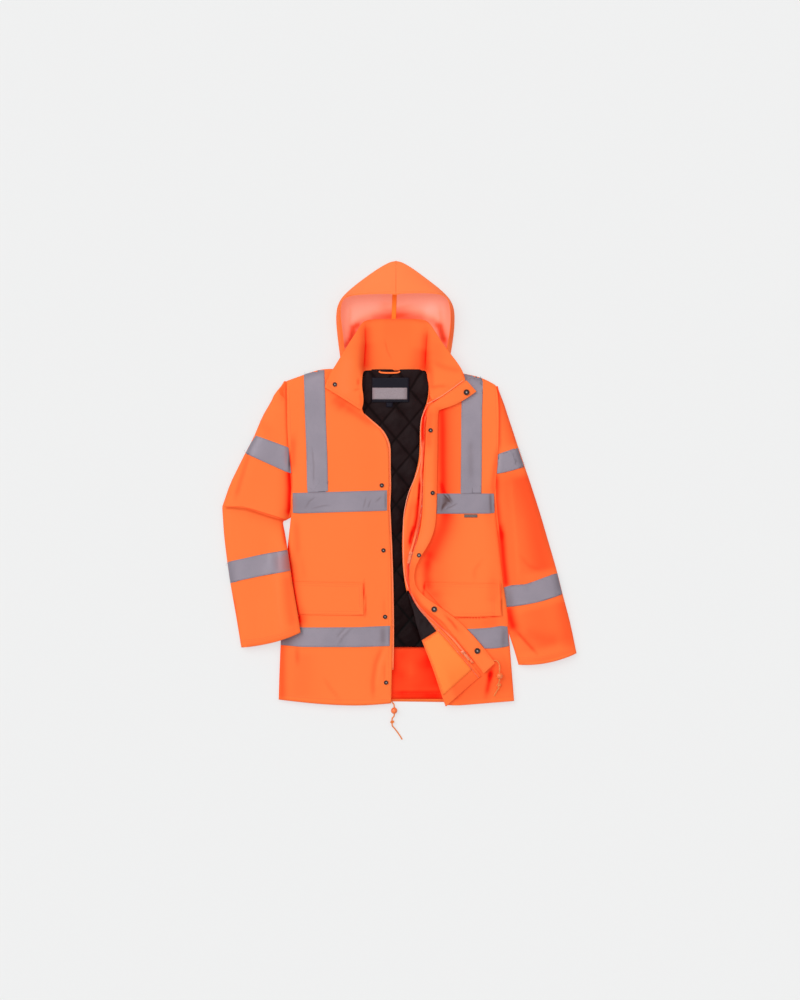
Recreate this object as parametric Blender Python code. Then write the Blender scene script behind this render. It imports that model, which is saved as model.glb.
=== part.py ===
"""Hi-vis work jacket with hood, laid open on a flat surface with its front up.

Working units are millimetres in the jacket's own plan: X towards the wearer's left sleeve,
Y towards the hood, Z up from the surface. Names end in _r and _l for the wearer's right and left.
"""

import math

import bmesh
import bpy
import numpy as np
from mathutils import Matrix, Vector
from mathutils.bvhtree import BVHTree

MM = 0.001

# ---------------------------------------------------------------- driving dimensions, in mm
SHELL = 1.5            # coated polyester wall
TAPE = 0.7             # reflective tape
TAPE_WIDTH = 50.0      # standard reflective tape
GAP = 0.3              # between pieces at a seam
INSET = 1.05           # from a side or armhole seam to the middle of the wall that meets it
LAY = 0.7              # lift of what is sewn onto a panel
SEAM_Z = 9.0           # height of the side, sleeve and shoulder seams
BACK_CURL = 10.0       # how far in from a seam the back turns up to meet the front
CUFF_CURL = 9.0
LINING_PLAIN = 3.0     # quilted lining at a stitch line
LINING_PUFF = 4.5      # and what its padding adds between the lines
QUILT_X = 34.0         # half of one quilted diamond, across
QUILT_Y = 40.0         # and along
LINING_TOP = 800.0
LINING_HEM = 133.0
HEM_FACING_FOOT = 6.0
ZIP_WIDTH = 6.0        # what shows of one side of the zip
ZIP_THICK = 1.2
STUD_RADIUS = 5.2
CAP_RADIUS = 7.0
SLIDER_WIDTH = 7.6
SLIDER_TALL = 2.4
SLIDER_LIFT = .7
BAR_Z = 5.0
BAR_RADIUS = .75
EYE_INNER = 1.15       # the tab's eye runs free of the bar
EYE_OUTER = 2.15
EYE_WIDTH = 3.6
TAB_WIDTH = 5.6
TAB_THICK = 1.3
TAB_LENGTH = 24.0
TAB_REST = math.radians(-9)
CORD_DIAMETER = 3.4
BEAD_RADIUS = 8.0
KNOT_RADIUS = 6.0

SHOULDER = [("x", "y"), (-266, 780), (-223, 794), (-172, 803), (-84, 811), (0, 809),
            (78, 809), (150, 801), (173, 795), (207, 785), (243, 768)]

# Side seam, then armhole, from hem to shoulder: share of the panel's height, then the point.
SIDE_R = [("v", "x", "y"), (0, -286, 5), (.09, -284, 75), (.18, -281, 150), (.33, -273, 270),
          (.47, -264, 383),
          (.555, -256, 449), (.645, -253, 524), (.685, -255, 556), (.76, -262, 617), (1, -266, 780)]
SIDE_L = [("v", "x", "y"), (0, 288, 2), (.13, 280, 102), (.22, 275, 167), (.3, 271, 233), (.37, 263, 280),
          (.45, 256, 339), (.51, 250, 393), (.59, 243, 458), (.65, 240, 507), (.71, 245, 553),
          (.79, 249, 611), (.95, 249, 740), (1, 243, 768)]
ARMPIT_R, ARMPIT_L = 449.0, 458.0

# The open front edge of the right front, then its neckline.
EDGE_R = [("v", "x", "y"), (0, -12, -4), (.18, -9, 150), (.32, -10, 263), (.49, -14, 394), (.6, -18, 482),
          (.66, -16, 526), (.72, -17, 570), (.78, -17, 613), (.82, -23, 638), (.85, -34, 657),
          (.875, -48, 671),
          (.905, -67, 687), (.93, -84, 706), (.96, -82, 736), (.98, -84, 768), (1, -84, 811)]
# The left front's edge is rolled over: this is the line it rolls on, low where the corner is turned back.
ROLL_L = [("v", "x", "y"), (0, 121, -11), (.03, 112, 12), (.1, 91, 78), (.18, 64, 145), (.255, 45, 204),
          (.3, 35, 236), (.34, 26, 268), (.42, 17, 330), (.5, 15, 399), (.58, 22, 470), (.645, 37, 522),
          (.69, 49, 558), (.73, 57, 590), (.78, 58, 630), (.845, 59, 684), (.885, 70, 714), (.92, 79, 738),
          (.96, 80, 772), (1, 78, 809)]
# Where the rolled part ends, at the zip, with the roll's radius and where the zip's tape lies beside it.
ZIP_L = [("v", "x", "y", "roll", "tape"), (0, 207, 64, 5, 4), (.03, 198, 75, 5, 4), (.1, 161, 120, 5, 4),
         (.18, 129, 158, 5, 4), (.255, 84, 202, 4.4, 3), (.3, 57, 230, 3.6, 0), (.34, 38, 262, 2.6, -2.6),
         (.42, 32, 333, 2.6, -3.7), (.5, 49, 397, 4, -3.7), (.58, 61, 470, 4.6, -3.7),
         (.645, 64, 520, 4, -3.7),
         (.69, 65, 557, 3, -3.7), (.73, 68, 590, 2.6, -3.7), (.78, 70, 630, 2.4, -3.7),
         (.845, 72, 684, 2.2, -3.7),
         (.885, 80, 711, 2, -3.7), (.92, 88, 735, 1.8, -3.7), (.96, 89, 771, 1.8, -3.7),
         (1, 87, 806, 1.8, -3.7)]
HEM_R = [("u", "x", "y"), (0, -286, 5), (.35, -188, -5), (.72, -88, -9), (1, -12, -4)]
HEM_L = [("u", "x", "y"), (0, 288, 2), (.4, 222, -3), (.75, 163, -8), (1, 121, -11)]
HEM_BACK = [("u", "x", "y"), (0, -286, 5), (.25, -150, -1), (.5, 0, 0), (.75, 150, -2), (1, 288, 2)]

# Height of the front's outside above the surface, along the body.
PLATEAU = [("y", "z"), (-20, 17), (60, 21), (160, 24), (300, 26), (450, 28), (620, 28), (720, 26), (820, 23)]
EDGE_HEIGHT = [("y", "z"), (-20, 14.5), (150, 16), (400, 17), (600, 18), (700, 18), (820, 19)]

# Sleeves: edge away from the body, edge beside it, how far the section bows to the cuff, height, inner slope.
SLEEVE_R = [("s", "ox", "oy", "ix", "iy", "bow", "top", "slope"),
            (0, -266, 780, -256, 449, 0, 27, 30), (.06, -303, 720, -257, 448, 4, 28, 30),
            (.13, -341, 648, -258, 447, 8, 29, 30), (.22, -380, 566, -260, 446, 9, 30, 28),
            (.33, -412, 493, -265, 443, 7, 31, 24), (.372, -420.5, 475, -267, 441, 4, 31, 22),
            (.383, -421, 470, -277, 438, 4, 21, 22), (.46, -420.5, 433, -271, 412, 2, 23, 24),
            (.62, -410, 339, -260, 345, -10, 24, 26), (.72, -403, 290, -253, 293, -12, 24, 26),
            (.86, -389, 211, -242, 232, -9, 23, 26), (1, -376, 132, -232, 169, 7, 21, 26)]
SLEEVE_L = [("s", "ox", "oy", "ix", "iy", "bow", "top", "slope"),
            (0, 243, 768, 243, 458, 0, 25, 30), (.08, 262, 719, 245, 446, 3, 25, 32),
            (.18, 284, 652, 248, 428, 6, 26, 36), (.29, 310, 574, 251, 400, 8, 26, 40),
            (.42, 342, 480, 254, 363, 6, 26, 46), (.56, 370, 385, 259, 320, 4, 25, 46),
            (.68, 391, 313, 266, 276, 12, 24, 44), (.78, 403, 263, 273, 232, 12, 24, 40),
            (.89, 421, 196, 281, 158, 10, 23, 34), (1, 439, 118, 299, 90, 9, 21, 30)]

# Collar, from its right end round the neck to its left end: seam point, then free edge.
COLLAR = [("nx", "ny", "nz", "fx", "fy", "fz"),
          (-84, 709, 25, -170, 764, 29.5), (-78, 729, 28, -164, 778, 30.5), (-80, 749, 30, -157, 795, 31.5),
          (-83, 769, 30, -148, 813, 33), (-83, 786, 27.5, -132, 842, 36.5), (-82, 797, 23, -115, 869, 40),
          (-80, 803.5, 15, -94, 901, 43.5), (-76, 806.5, 9, -82, 919, 45), (-67, 807.5, 5, -69, 927, 45),
          (-34, 807, 4.2, -35, 929, 44), (0, 806.5, 4.2, 0, 929, 43.5), (34, 807, 4.2, 34, 929, 44),
          (62, 807.5, 5, 65, 928, 45), (70, 806.5, 9, 79, 921, 45), (74, 803.5, 15, 91, 905, 43.5),
          (76, 797, 23, 108, 878, 40), (77, 786, 27.5, 129, 849, 36.5), (79, 769, 30, 150, 823, 33),
          (81, 749, 31, 163, 801, 32.5), (86, 731, 31, 166, 784, 33)]

# One half of the hood: opening edge, outline, and the middle of the back part, from neck to peak.
HOOD_R = [("rx", "ry", "rz", "ox", "oy", "cy"),
          (-126, 850, 27, -138, 842, 811), (-129, 892, 32, -142.5, 892, 848), (-134, 925, 36, -146, 925, 876),
          (-135, 947, 39, -145, 948, 905), (-132, 966, 41, -139, 968, 934), (-122, 978, 44, -129, 983, 962),
          (-95, 983, 48, -102, 1007, 990), (-64, 984.5, 51, -70, 1031, 1014), (-30, 985, 53, -34, 1056, 1038),
          (-.4, 985, 54, -3, 1071, 1060)]
HOOD_L = [("rx", "ry", "rz", "ox", "oy", "cy"),
          (122, 852, 27, 133, 846, 811), (129, 888, 32, 139.5, 887, 848), (133, 922, 36, 143, 922, 876),
          (132, 948, 39, 141, 950, 905), (128, 968, 41, 135, 970, 934), (118, 981, 44, 122, 986, 962),
          (94, 986, 48, 98, 1007, 990), (64, 987, 51, 67, 1030, 1014), (30, 986, 53, 34, 1055, 1038),
          (.4, 985, 54, 3, 1071, 1060)]
HOOD_TURN = 5.5
HOOD_SEAM_X = -7.0     # where the hood's middle seam lies at the neck

# Storm flap of the left front: zip side, free side, and the height of each above the panel below.
FLAP_L = [("zx", "zy", "fx", "fy", "zh", "fh"),
          (213, 70, 240, 95, 6.5, 9), (192, 98, 229, 111, 6.5, 7), (152, 148, 203, 144, 6.5, 5.5),
          (120, 186, 169, 181, 6.5, 4), (92, 209, 131, 214, 7, 4), (61, 236, 92, 240, 7, 4.5),
          (41, 259, 62, 262, 8, 7), (33, 290, 44, 292, 9, 12), (34, 328, 47, 330, 9, 13),
          (44, 368, 68, 366, 8.5, 11), (56, 404, 89, 404, 8, 6), (64, 452, 97.5, 450, 8, 4),
          (66, 520, 99, 518, 8, 4), (68, 574, 100, 574, 8, 4), (72, 632, 101, 632, 8, 4),
          (74, 680, 101, 682, 8.5, 4), (77, 706, 103, 706, 9.5, 5), (84, 722, 108, 711, 10.5, 6),
          (99, 733, 119, 714, 11.5, 7), (124, 749, 141, 721, 12, 7.5), (149, 766, 168, 735, 12.5, 8),
          (171, 781, 195, 754, 12.5, 8)]

# Soft folds: a trough (negative) or ridge along a line, with its half width.
FOLDS = {
    "front_r": [("x0", "y0", "x1", "y1", "half", "high"), (-26, 128, -52, 18, 17, -3.5),
                (-150, 700, -60, 640, 30, 2.0), (-120, 110, -150, 10, 26, -2.0),
                (-225, 620, -235, 480, 22, -2.5)],
    "front_l": [("x0", "y0", "x1", "y1", "half", "high"), (117, 700, 116, 420, 15, -6),
                (116, 420, 72, 330, 16, -6), (72, 330, 100, 250, 14, -4), (175, 690, 170, 540, 26, 2),
                (190, 60, 176, 6, 14, -4), (150, 420, 118, 250, 24, 3)],
    "sleeve_r": [("x0", "y0", "x1", "y1", "half", "high"), (-392, 500, -300, 640, 26, 3),
                 (-340, 440, -360, 250, 30, 2.5), (-300, 420, -295, 330, 20, -3)],
    "sleeve_l": [("x0", "y0", "x1", "y1", "half", "high"), (276, 205, 338, 128, 13, -4.5),
                 (300, 205, 372, 150, 17, 3.5), (330, 470, 300, 330, 24, 3), (390, 190, 405, 130, 18, -3)],
}

COLOURS = {
    "hi_vis": ((.95, .21, .035), .62, 0),
    "facing": ((.98, .30, .06), .55, 0), "reflective": ((.36, .36, .40), .38, .1),
    "lining": ((.014, .012, .013), .5, 0), "stud": ((.17, .14, .14), .3, .9),
    "zip": ((.98, .28, .12), .45, 0), "label": ((.016, .018, .045), .6, 0),
    "label_print": ((.55, .50, .53), .6, 0), "cord": ((.9, .32, .09), .7, 0),
}


# ---------------------------------------------------------------- curves and fields
class Track:
    """A smooth curve through a table's rows, read at its first column."""

    def __init__(self, table):
        names, *rows = table
        data = np.array(rows, float)
        self.keys, self.values, self.names = data[:, 0], data[:, 1:], names[1:]
        steps = np.diff(self.keys)[:, None]
        rise = np.diff(self.values, axis=0) / steps
        inner = (rise[:-1] * steps[1:] + rise[1:] * steps[:-1]) / (steps[:-1] + steps[1:])
        inner[rise[:-1] * rise[1:] <= 0] *= .35
        self.slopes = np.vstack([rise[:1], inner, rise[-1:]])

    def at(self, key):
        key = np.clip(np.asarray(key, float), self.keys[0], self.keys[-1])
        i = np.clip(np.searchsorted(self.keys, key, side="right") - 1, 0, len(self.keys) - 2)
        width = self.keys[i + 1] - self.keys[i]
        t = ((key - self.keys[i]) / width)[..., None]
        width = width[..., None]
        return ((2 * t**3 - 3 * t**2 + 1) * self.values[i] + (t**3 - 2 * t**2 + t) * width * self.slopes[i]
                + (3 * t**2 - 2 * t**3) * self.values[i + 1] + (t**3 - t**2) * width * self.slopes[i + 1])

    def column(self, name, key):
        return self.at(key)[..., self.names.index(name)]


def numbered(table):
    """The same table with its row number in front, from 0 to 1, as the key."""
    names, *rows = table
    return [("key", *names)] + [(i / (len(rows) - 1), *row) for i, row in enumerate(rows)]


def across(table):
    """x read at y, for an edge table whose rows climb."""
    names, *rows = table
    return Track([("y", "x")] + [(row[2], row[1]) for row in rows])


def soft(t):
    t = np.clip(t, 0, 1)
    return t * t * (3 - 2 * t)


def dome(t):
    """Quarter of a circle: steep at 0, level at 1."""
    t = np.clip(t, 0, 1)
    return np.sqrt(1 - (1 - t) ** 2)


def fold_height(name, x, y):
    names, *rows = FOLDS[name]
    total = 0 * x
    for x0, y0, x1, y1, half, high in rows:
        along = np.array([x1 - x0, y1 - y0], float)
        length = np.linalg.norm(along)
        t = ((x - x0) * along[0] + (y - y0) * along[1]) / length**2
        aside = ((x - x0) * along[1] - (y - y0) * along[0]) / length
        total = total + high * np.exp(-(aside / half) ** 2) * soft(2.2 * t + .25) * soft(2.2 * (1 - t) + .25)
    return total


class Seam(Track):
    """An edge whose x is always read at its y, so that both panels sewn along it agree."""

    def __init__(self, table):
        super().__init__(table)
        self.run = across(table)

    def at(self, key):
        y = super().at(key)[..., 1]
        return np.stack([self.run.column("x", y), y], axis=-1)


shoulder = Track(SHOULDER)
plateau = Track(PLATEAU)
edge_height = Track(EDGE_HEIGHT)
side_seam = {"r": Seam(SIDE_R), "l": Seam(SIDE_L)}
side_x = {side: seam.run for side, seam in side_seam.items()}
front_x = {"r": across(EDGE_R), "l": across(ROLL_L)}
armpit = {"r": ARMPIT_R, "l": ARMPIT_L}
side_slope = {"r": 105.0, "l": 34.0}     # how gently the front climbs in from its side seam
side_curl = {"r": .28, "l": .55}         # share of the height that the edge's own curl takes


def front_top(side, x, y):
    """Outside of a front panel above the surface."""
    inward = 1 if side == "r" else -1
    from_side = inward * (x - side_x[side].column("x", y))
    from_edge = inward * (front_x[side].column("x", y) - x)
    level = plateau.column("z", y)
    level = level - (level - edge_height.column("z", y)) * (1 - soft(from_edge / 85))
    open_arm = soft((y - armpit[side] + 8) / 62)
    climb = side_curl[side] * dome(from_side / 9) + (1 - side_curl[side]) * soft(from_side / side_slope[side])
    climb = climb + (1 - climb) * open_arm
    climb = climb * dome((shoulder.column("y", x) - y) / 42)
    closed = np.clip(climb * 1.6, 0, 1)
    return SEAM_Z + (level - SEAM_Z) * climb + fold_height("front_" + side, x, y) * closed


def back_level(x, y):
    """Middle of the back panel's wall: flat, and turned up at the side and shoulder seams."""
    turn = 0 * x
    for side, inward in (("r", 1), ("l", -1)):
        from_side = inward * (x - side_x[side].column("x", y))
        closed = 1 - soft((y - armpit[side] + 8) / 62)
        turn = np.maximum(turn, (1 - dome(from_side / BACK_CURL)) * closed)
    at_shoulder = soft((np.abs(x) - 68) / 16)
    turn = np.maximum(turn, (1 - dome((shoulder.column("y", x) - y) / BACK_CURL)) * at_shoulder)
    return SHELL / 2 + (SEAM_Z - GAP * .6 - SHELL / 2) * turn


def coons(bottom, top, left, right, us, vs):
    """Plan points of a panel between its four edges; u runs along the hem and v up the side."""
    u, v = np.meshgrid(us, vs)
    along_v = (1 - v)[..., None] * bottom.at(u)[..., :2] + v[..., None] * top.at(u)[..., :2]
    along_u = (1 - u)[..., None] * left.at(v)[..., :2] + u[..., None] * right.at(v)[..., :2]
    corners = [[bottom.at(0.)[:2], bottom.at(1.)[:2]], [top.at(0.)[:2], top.at(1.)[:2]]]
    weights = [[(1 - u) * (1 - v), u * (1 - v)], [(1 - u) * v, u * v]]
    flat = sum(w[..., None] * c for ws, cs in zip(weights, corners) for w, c in zip(ws, cs))
    return along_v + along_u - flat


def shoulder_line(x_from, x_to, steps=9):
    """The shoulder as a table from one x to another."""
    xs = np.linspace(x_from, x_to, steps)
    ys = shoulder.column("y", xs)
    return Track([("u", "x", "y")] + [(i / (steps - 1), x, y) for i, (x, y) in enumerate(zip(xs, ys))])


# ---------------------------------------------------------------- solids
made = []
pivots = {}            # pull tabs' bars: a point on each and its direction


def new_material(piece, cloth):
    """The piece's own material, in the colour of its cloth or metal."""
    colour, roughness, metallic = COLOURS[cloth]
    fresh = bpy.data.materials.new(piece)
    fresh.use_nodes = True
    shader = fresh.node_tree.nodes["Principled BSDF"]
    shader.inputs["Base Color"].default_value = (*colour, 1)
    shader.inputs["Roughness"].default_value = roughness
    shader.inputs["Metallic"].default_value = metallic
    fresh.diffuse_color = (*colour, 1)
    return fresh


def add_object(name, points, faces, colour, smooth=True):
    """Makes the node from points in millimetres and turns its faces outwards."""
    used = sorted({k for face in faces for k in face})
    place = {k: i for i, k in enumerate(used)}
    points, faces = [points[k] for k in used], [tuple(place[k] for k in face) for face in faces]
    mesh = bpy.data.meshes.new(name)
    mesh.from_pydata([tuple(float(c) * MM for c in p) for p in points], [], faces)
    work = bmesh.new()
    work.from_mesh(mesh)
    bmesh.ops.recalc_face_normals(work, faces=work.faces[:])
    work.to_mesh(mesh)
    work.free()
    mesh.materials.append(new_material(name, colour))
    if smooth:
        mesh.shade_smooth()
        mesh.set_sharp_from_angle(angle=math.radians(50))
    obj = bpy.data.objects.new(name, mesh)
    bpy.context.scene.collection.objects.link(obj)
    made.append(obj)
    return obj


def grid_normals(grid):
    du = np.gradient(grid, axis=1)
    dv = np.gradient(grid, axis=0)
    normals = np.cross(du, dv)
    return normals / np.maximum(np.linalg.norm(normals, axis=2, keepdims=True), 1e-9)


def close_wall(name, lower, upper, colour, plain_below=False):
    """A closed wall between two grids of the same size; a level underside can be left in a few faces."""
    rows, columns = lower.shape[:2]
    count = rows * columns
    points = list(lower.reshape(-1, 3)) + list(upper.reshape(-1, 3))
    faces = []
    for i in range(rows - 1):
        for j in range(columns - 1):
            a, b = i * columns + j, i * columns + j + 1
            c, d = b + columns, a + columns
            cuts = [(a, b, c), (a, c, d)] if (i + j) % 2 else [(a, b, d), (b, c, d)]
            if not plain_below:
                faces += [tuple(reversed(cut)) for cut in cuts]
            faces += [tuple(count + k for k in cut) for cut in cuts]
    if plain_below:
        end = columns - 1
        for i in range(1, rows - 2):
            a, d = i * columns, (i + 1) * columns
            faces += [(a, d, d + end), (a, d + end, a + end)]
        for first, second in ((0, columns), ((rows - 1) * columns, (rows - 2) * columns)):
            faces += [(first + j, first + j + 1, second + (0 if j < end // 2 else end)) for j in range(end)]
            faces.append((first + end // 2, second, second + end))
    rim = [j for j in range(columns)] + [i * columns + columns - 1 for i in range(1, rows)]
    rim += [(rows - 1) * columns + j for j in range(columns - 2, -1, -1)]
    rim += [i * columns for i in range(rows - 2, 0, -1)]
    for a, b in zip(rim, rim[1:] + rim[:1]):
        faces += [(a, b, count + b), (a, count + b, count + a)]
    return add_object(name, points, faces, colour)


def wall(name, middle, thickness, colour):
    """A cloth wall of one thickness on both sides of its middle surface, its turned-up rims cut level."""
    normals = grid_normals(middle)
    for rim in (normals[0], normals[-1], normals[:, 0], normals[:, -1]):
        level = np.linalg.norm(rim[:, :2], axis=1)
        upright = level > .4
        rim[upright] = np.stack([rim[:, 0], rim[:, 1], 0 * level], axis=1)[upright] / level[upright, None]
    return close_wall(name, middle - normals * thickness / 2, middle + normals * thickness / 2, colour)


def surface_of(obj):
    """A tree of the object's faces in millimetres, for laying pieces on it."""
    mesh = obj.data
    points = [v.co / MM for v in mesh.vertices]
    return BVHTree.FromPolygons(points, [tuple(p.vertices) for p in mesh.polygons])


def touch_down(tree, x, y):
    """The highest point of a surface at x, y, or its nearest point where it ends."""
    place, _, _, _ = tree.ray_cast(Vector((x, y, 300)), Vector((0, 0, -1)))
    if place is not None:
        return place
    place, _, _, _ = tree.find_nearest(Vector((x, y, 40)))
    return Vector((x, y, place.z))


def stand_off(tree, x, y, reach=4.0):
    """The point of a surface under x, y and the way the surface faces there."""
    here = touch_down(tree, x, y)
    run_x = touch_down(tree, x + reach, y) - touch_down(tree, x - reach, y)
    run_y = touch_down(tree, x, y + reach) - touch_down(tree, x, y - reach)
    return here, run_x.cross(run_y).normalized()


SPREAD = [(a / 5, b / 5) for a in range(6) for b in range(6 - a)]


def clearance_lack(tree, p, q, r, steepness):
    """How much closer than the seam gap a face comes to the surface below it."""
    lack = 0.0
    for a, b in SPREAD:
        spot = p + (q - p) * a + (r - p) * b
        place, _, _, _ = tree.ray_cast(Vector((spot[0], spot[1], 300)), Vector((0, 0, -1)))
        if place is not None:
            lack = max(lack, (GAP + .1) - (spot[2] - place.z) * max(steepness, .2))
    return lack


def lay_on(name, tree, plan, thickness, colour, lift=LAY):
    """Lays a grid of plan points on the surface below it, as a wall that follows it."""
    rows, columns = plan.shape[:2]
    place = np.zeros((rows, columns, 3))
    facing = np.zeros((rows, columns, 3))
    for i in range(rows):
        for j in range(columns):
            place[i, j], facing[i, j] = stand_off(tree, *plan[i, j])
    rise = np.full((rows, columns), float(lift))
    for _ in range(8):
        lower = place + facing * rise[..., None]
        short = np.zeros_like(rise)
        for i in range(rows - 1):
            for j in range(columns - 1):
                a, b, c, d = (i, j), (i, j + 1), (i + 1, j + 1), (i + 1, j)
                cuts = [(a, b, c), (a, c, d)] if (i + j) % 2 else [(a, b, d), (b, c, d)]
                for cut in cuts:
                    lack = clearance_lack(tree, *(lower[k] for k in cut), facing[cut[0]][2])
                    for k in cut:
                        short[k] = max(short[k], lack)
        if short.max() < .02:
            break
        rise += short * .8
    foot = rise[..., None]
    return close_wall(name, place + facing * foot, place + facing * (foot + thickness), colour)


def turned(name, profile, place, direction, colour, sides=14):
    """A round piece from (radius, height) points, standing at place. Radius 0 ends are poles."""
    direction = Vector(direction).normalized()
    spin = direction.to_track_quat("Z", "Y").to_matrix()
    points, rings = [], []
    for radius, height in profile:
        if radius == 0:
            rings.append([len(points)])
            points.append(Vector(place) + spin @ Vector((0, 0, height)))
            continue
        rings.append(list(range(len(points), len(points) + sides)))
        for k in range(sides):
            turn = 2 * math.pi * k / sides
            rim = Vector((radius * math.cos(turn), radius * math.sin(turn), height))
            points.append(Vector(place) + spin @ rim)
    closed = profile[0][0] != 0
    pairs = list(zip(rings, rings[1:] + rings[:1])) if closed else list(zip(rings, rings[1:]))
    faces = []
    for below, above in pairs:
        for k in range(sides):
            n = (k + 1) % sides
            corners = [below[k % len(below)], below[n % len(below)], above[n % len(above)],
                       above[k % len(above)]]
            faces.append(tuple(dict.fromkeys(corners)))
    return add_object(name, points, faces, colour)


def frame_at(place, along, up):
    along, up = Vector(along).normalized(), Vector(up).normalized()
    side = up.cross(along).normalized()
    up = along.cross(side)
    return Matrix.Translation(Vector(place)) @ Matrix((along, side, up)).transposed().to_4x4()


# ---------------------------------------------------------------- body panels
SIDE_STEPS = np.array([0, .004, .014, .035, .08, .15])


def build_back():
    us = np.concatenate([SIDE_STEPS * .5, [.22, .355, .395, .5, .645, .68, .78], 1 - SIDE_STEPS[::-1] * .5])
    vs = np.array([0, .09, .2, .33, .45, .52, .555, .59, .645, .76, .9, .97, .985, .995, 1])
    plan = coons(Track(HEM_BACK), shoulder_line(-266, 243), side_seam["r"], side_seam["l"], us, vs)
    plan[:, 0, 0] += INSET
    plan[:, -1, 0] -= INSET
    level = back_level(plan[..., 0], plan[..., 1])
    return wall("back", np.dstack([plan, level]), SHELL, "hi_vis")


def front_plan(side):
    if side == "r":
        us = np.concatenate([[0, .006, .02, .05, .11], np.linspace(.22, 1, 7)])
        vs = np.concatenate([[0, .06, .12, .2, .3, .4, .49, .56, .61, .66, .72, .78, .82, .85],
                             [.875, .905, .93],
                             [.96, .98, .994, 1]])
        return coons(Track(HEM_R), shoulder_line(-266, -84), side_seam["r"], Track(EDGE_R), us, vs), us, vs
    us = np.concatenate([[0, .007, .025, .065, .14], np.linspace(.28, 1, 6)])
    vs = np.concatenate([[0, .03, .1, .14, .18, .22, .255, .3, .34, .38, .42, .46, .5, .54, .58, .645, .69],
                         [.73, .78, .845, .885, .92, .96, .98, .994, 1]])
    return coons(Track(HEM_L), shoulder_line(243, 78), side_seam["l"], Track(ROLL_L), us, vs), us, vs


def build_front_r():
    plan, _, _ = front_plan("r")
    level = front_top("r", plan[..., 0], plan[..., 1]) - SHELL / 2
    level[:, 0] = np.maximum(level[:, 0], SEAM_Z + GAP * .6)
    level[-1] = np.maximum(level[-1], SEAM_Z + GAP * .6)
    plan[:, 0, 0] += INSET
    return wall("front_r", np.dstack([plan, level]), SHELL, "hi_vis")


def build_front_l():
    """The left front, whose edge rolls over on itself from hem to neck."""
    plan, _, vs = front_plan("l")
    level = front_top("l", plan[..., 0], plan[..., 1]) - SHELL / 2
    level[:, 0] = np.maximum(level[:, 0], SEAM_Z + GAP * .6)
    level[-1] = np.maximum(level[-1], SEAM_Z + GAP * .6)
    plan[:, 0, 0] -= INSET
    main = np.dstack([plan, level])
    zip_side = Track(ZIP_L).at(vs)
    roll_line = Track(ROLL_L).at(vs)
    returned = zip_side[:, :2] - roll_line
    width = np.linalg.norm(returned, axis=1)[:, None]
    inward = returned / width
    radius = zip_side[:, 2][:, None]
    start = roll_line + inward * radius
    main[:, -1, :2] = start
    main[:, -1, 2] = front_top("l", start[:, 0], start[:, 1]) - SHELL / 2
    base = main[:, -1, 2][:, None]
    columns = [main]
    for degrees in (45, 90, 135, 180):
        turn = math.radians(degrees)
        ring = np.hstack([roll_line + inward * radius * (1 - math.sin(turn)),
                          base + radius * (1 - math.cos(turn))])
        columns.append(ring[:, None, :])
    reach = width - radius + zip_side[:, 3][:, None] - ZIP_WIDTH / 2 - 3 * GAP
    for share in (.33, .67, 1):
        spot = start + inward * reach * share
        floor = front_top("l", spot[:, 0], spot[:, 1])[:, None] + SHELL / 2 + 1.6
        high = base + 2 * radius
        height = high + (np.maximum(floor, base + 2.4) - high) * soft(np.array(share))
        columns.append(np.hstack([spot, np.maximum(height, floor)])[:, None, :])
    return wall("front_l", np.concatenate(columns, axis=1), SHELL, "hi_vis")


def build_lining():
    """Quilted back lining: low along the stitch lines, puffed up inside each diamond."""
    rows = int(round((LINING_TOP - LINING_HEM) / (QUILT_Y / 2)))
    across_half, edge = 8, 226.0
    stations = np.arange(-across_half, across_half + 1)
    xs = np.concatenate([[-edge], stations * QUILT_X / 2, [edge]])
    x, share = np.meshgrid(xs, np.linspace(0, 1, rows + 1))
    top = np.where(np.abs(x) > 84, shoulder.column("y", x) - 18, LINING_TOP)
    y = LINING_HEM + (top - LINING_HEM) * share
    j, i = np.meshgrid(np.arange(len(xs)), np.arange(rows + 1))
    puff = (np.abs(np.sin(np.pi * (i + j) / 4)) * np.abs(np.sin(np.pi * (i - j) / 4))) ** .6
    puff[0] = puff[-1] = 0
    puff[:, :2] = puff[:, -2:] = 0
    foot = SHELL + GAP
    lower = np.dstack([x, y, np.full_like(x, foot)])
    upper = np.dstack([x, y, foot + LINING_PLAIN + LINING_PUFF * puff])
    return close_wall("back_lining", lower, upper, "lining", plain_below=True)


def build_hem_facing():
    us = np.linspace(0, 1, 7)
    plan = np.zeros((3, 7, 2))
    for i, y in enumerate((HEM_FACING_FOOT, 70, LINING_HEM - .5)):
        plan[i, :, 0] = -150 + 330 * us
        plan[i, :, 1] = y
    level = np.full(plan.shape[:2] + (1,), SHELL + GAP + .6)
    return wall("back_hem_facing", np.concatenate([plan, level], axis=2), 1.2, "facing")


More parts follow.
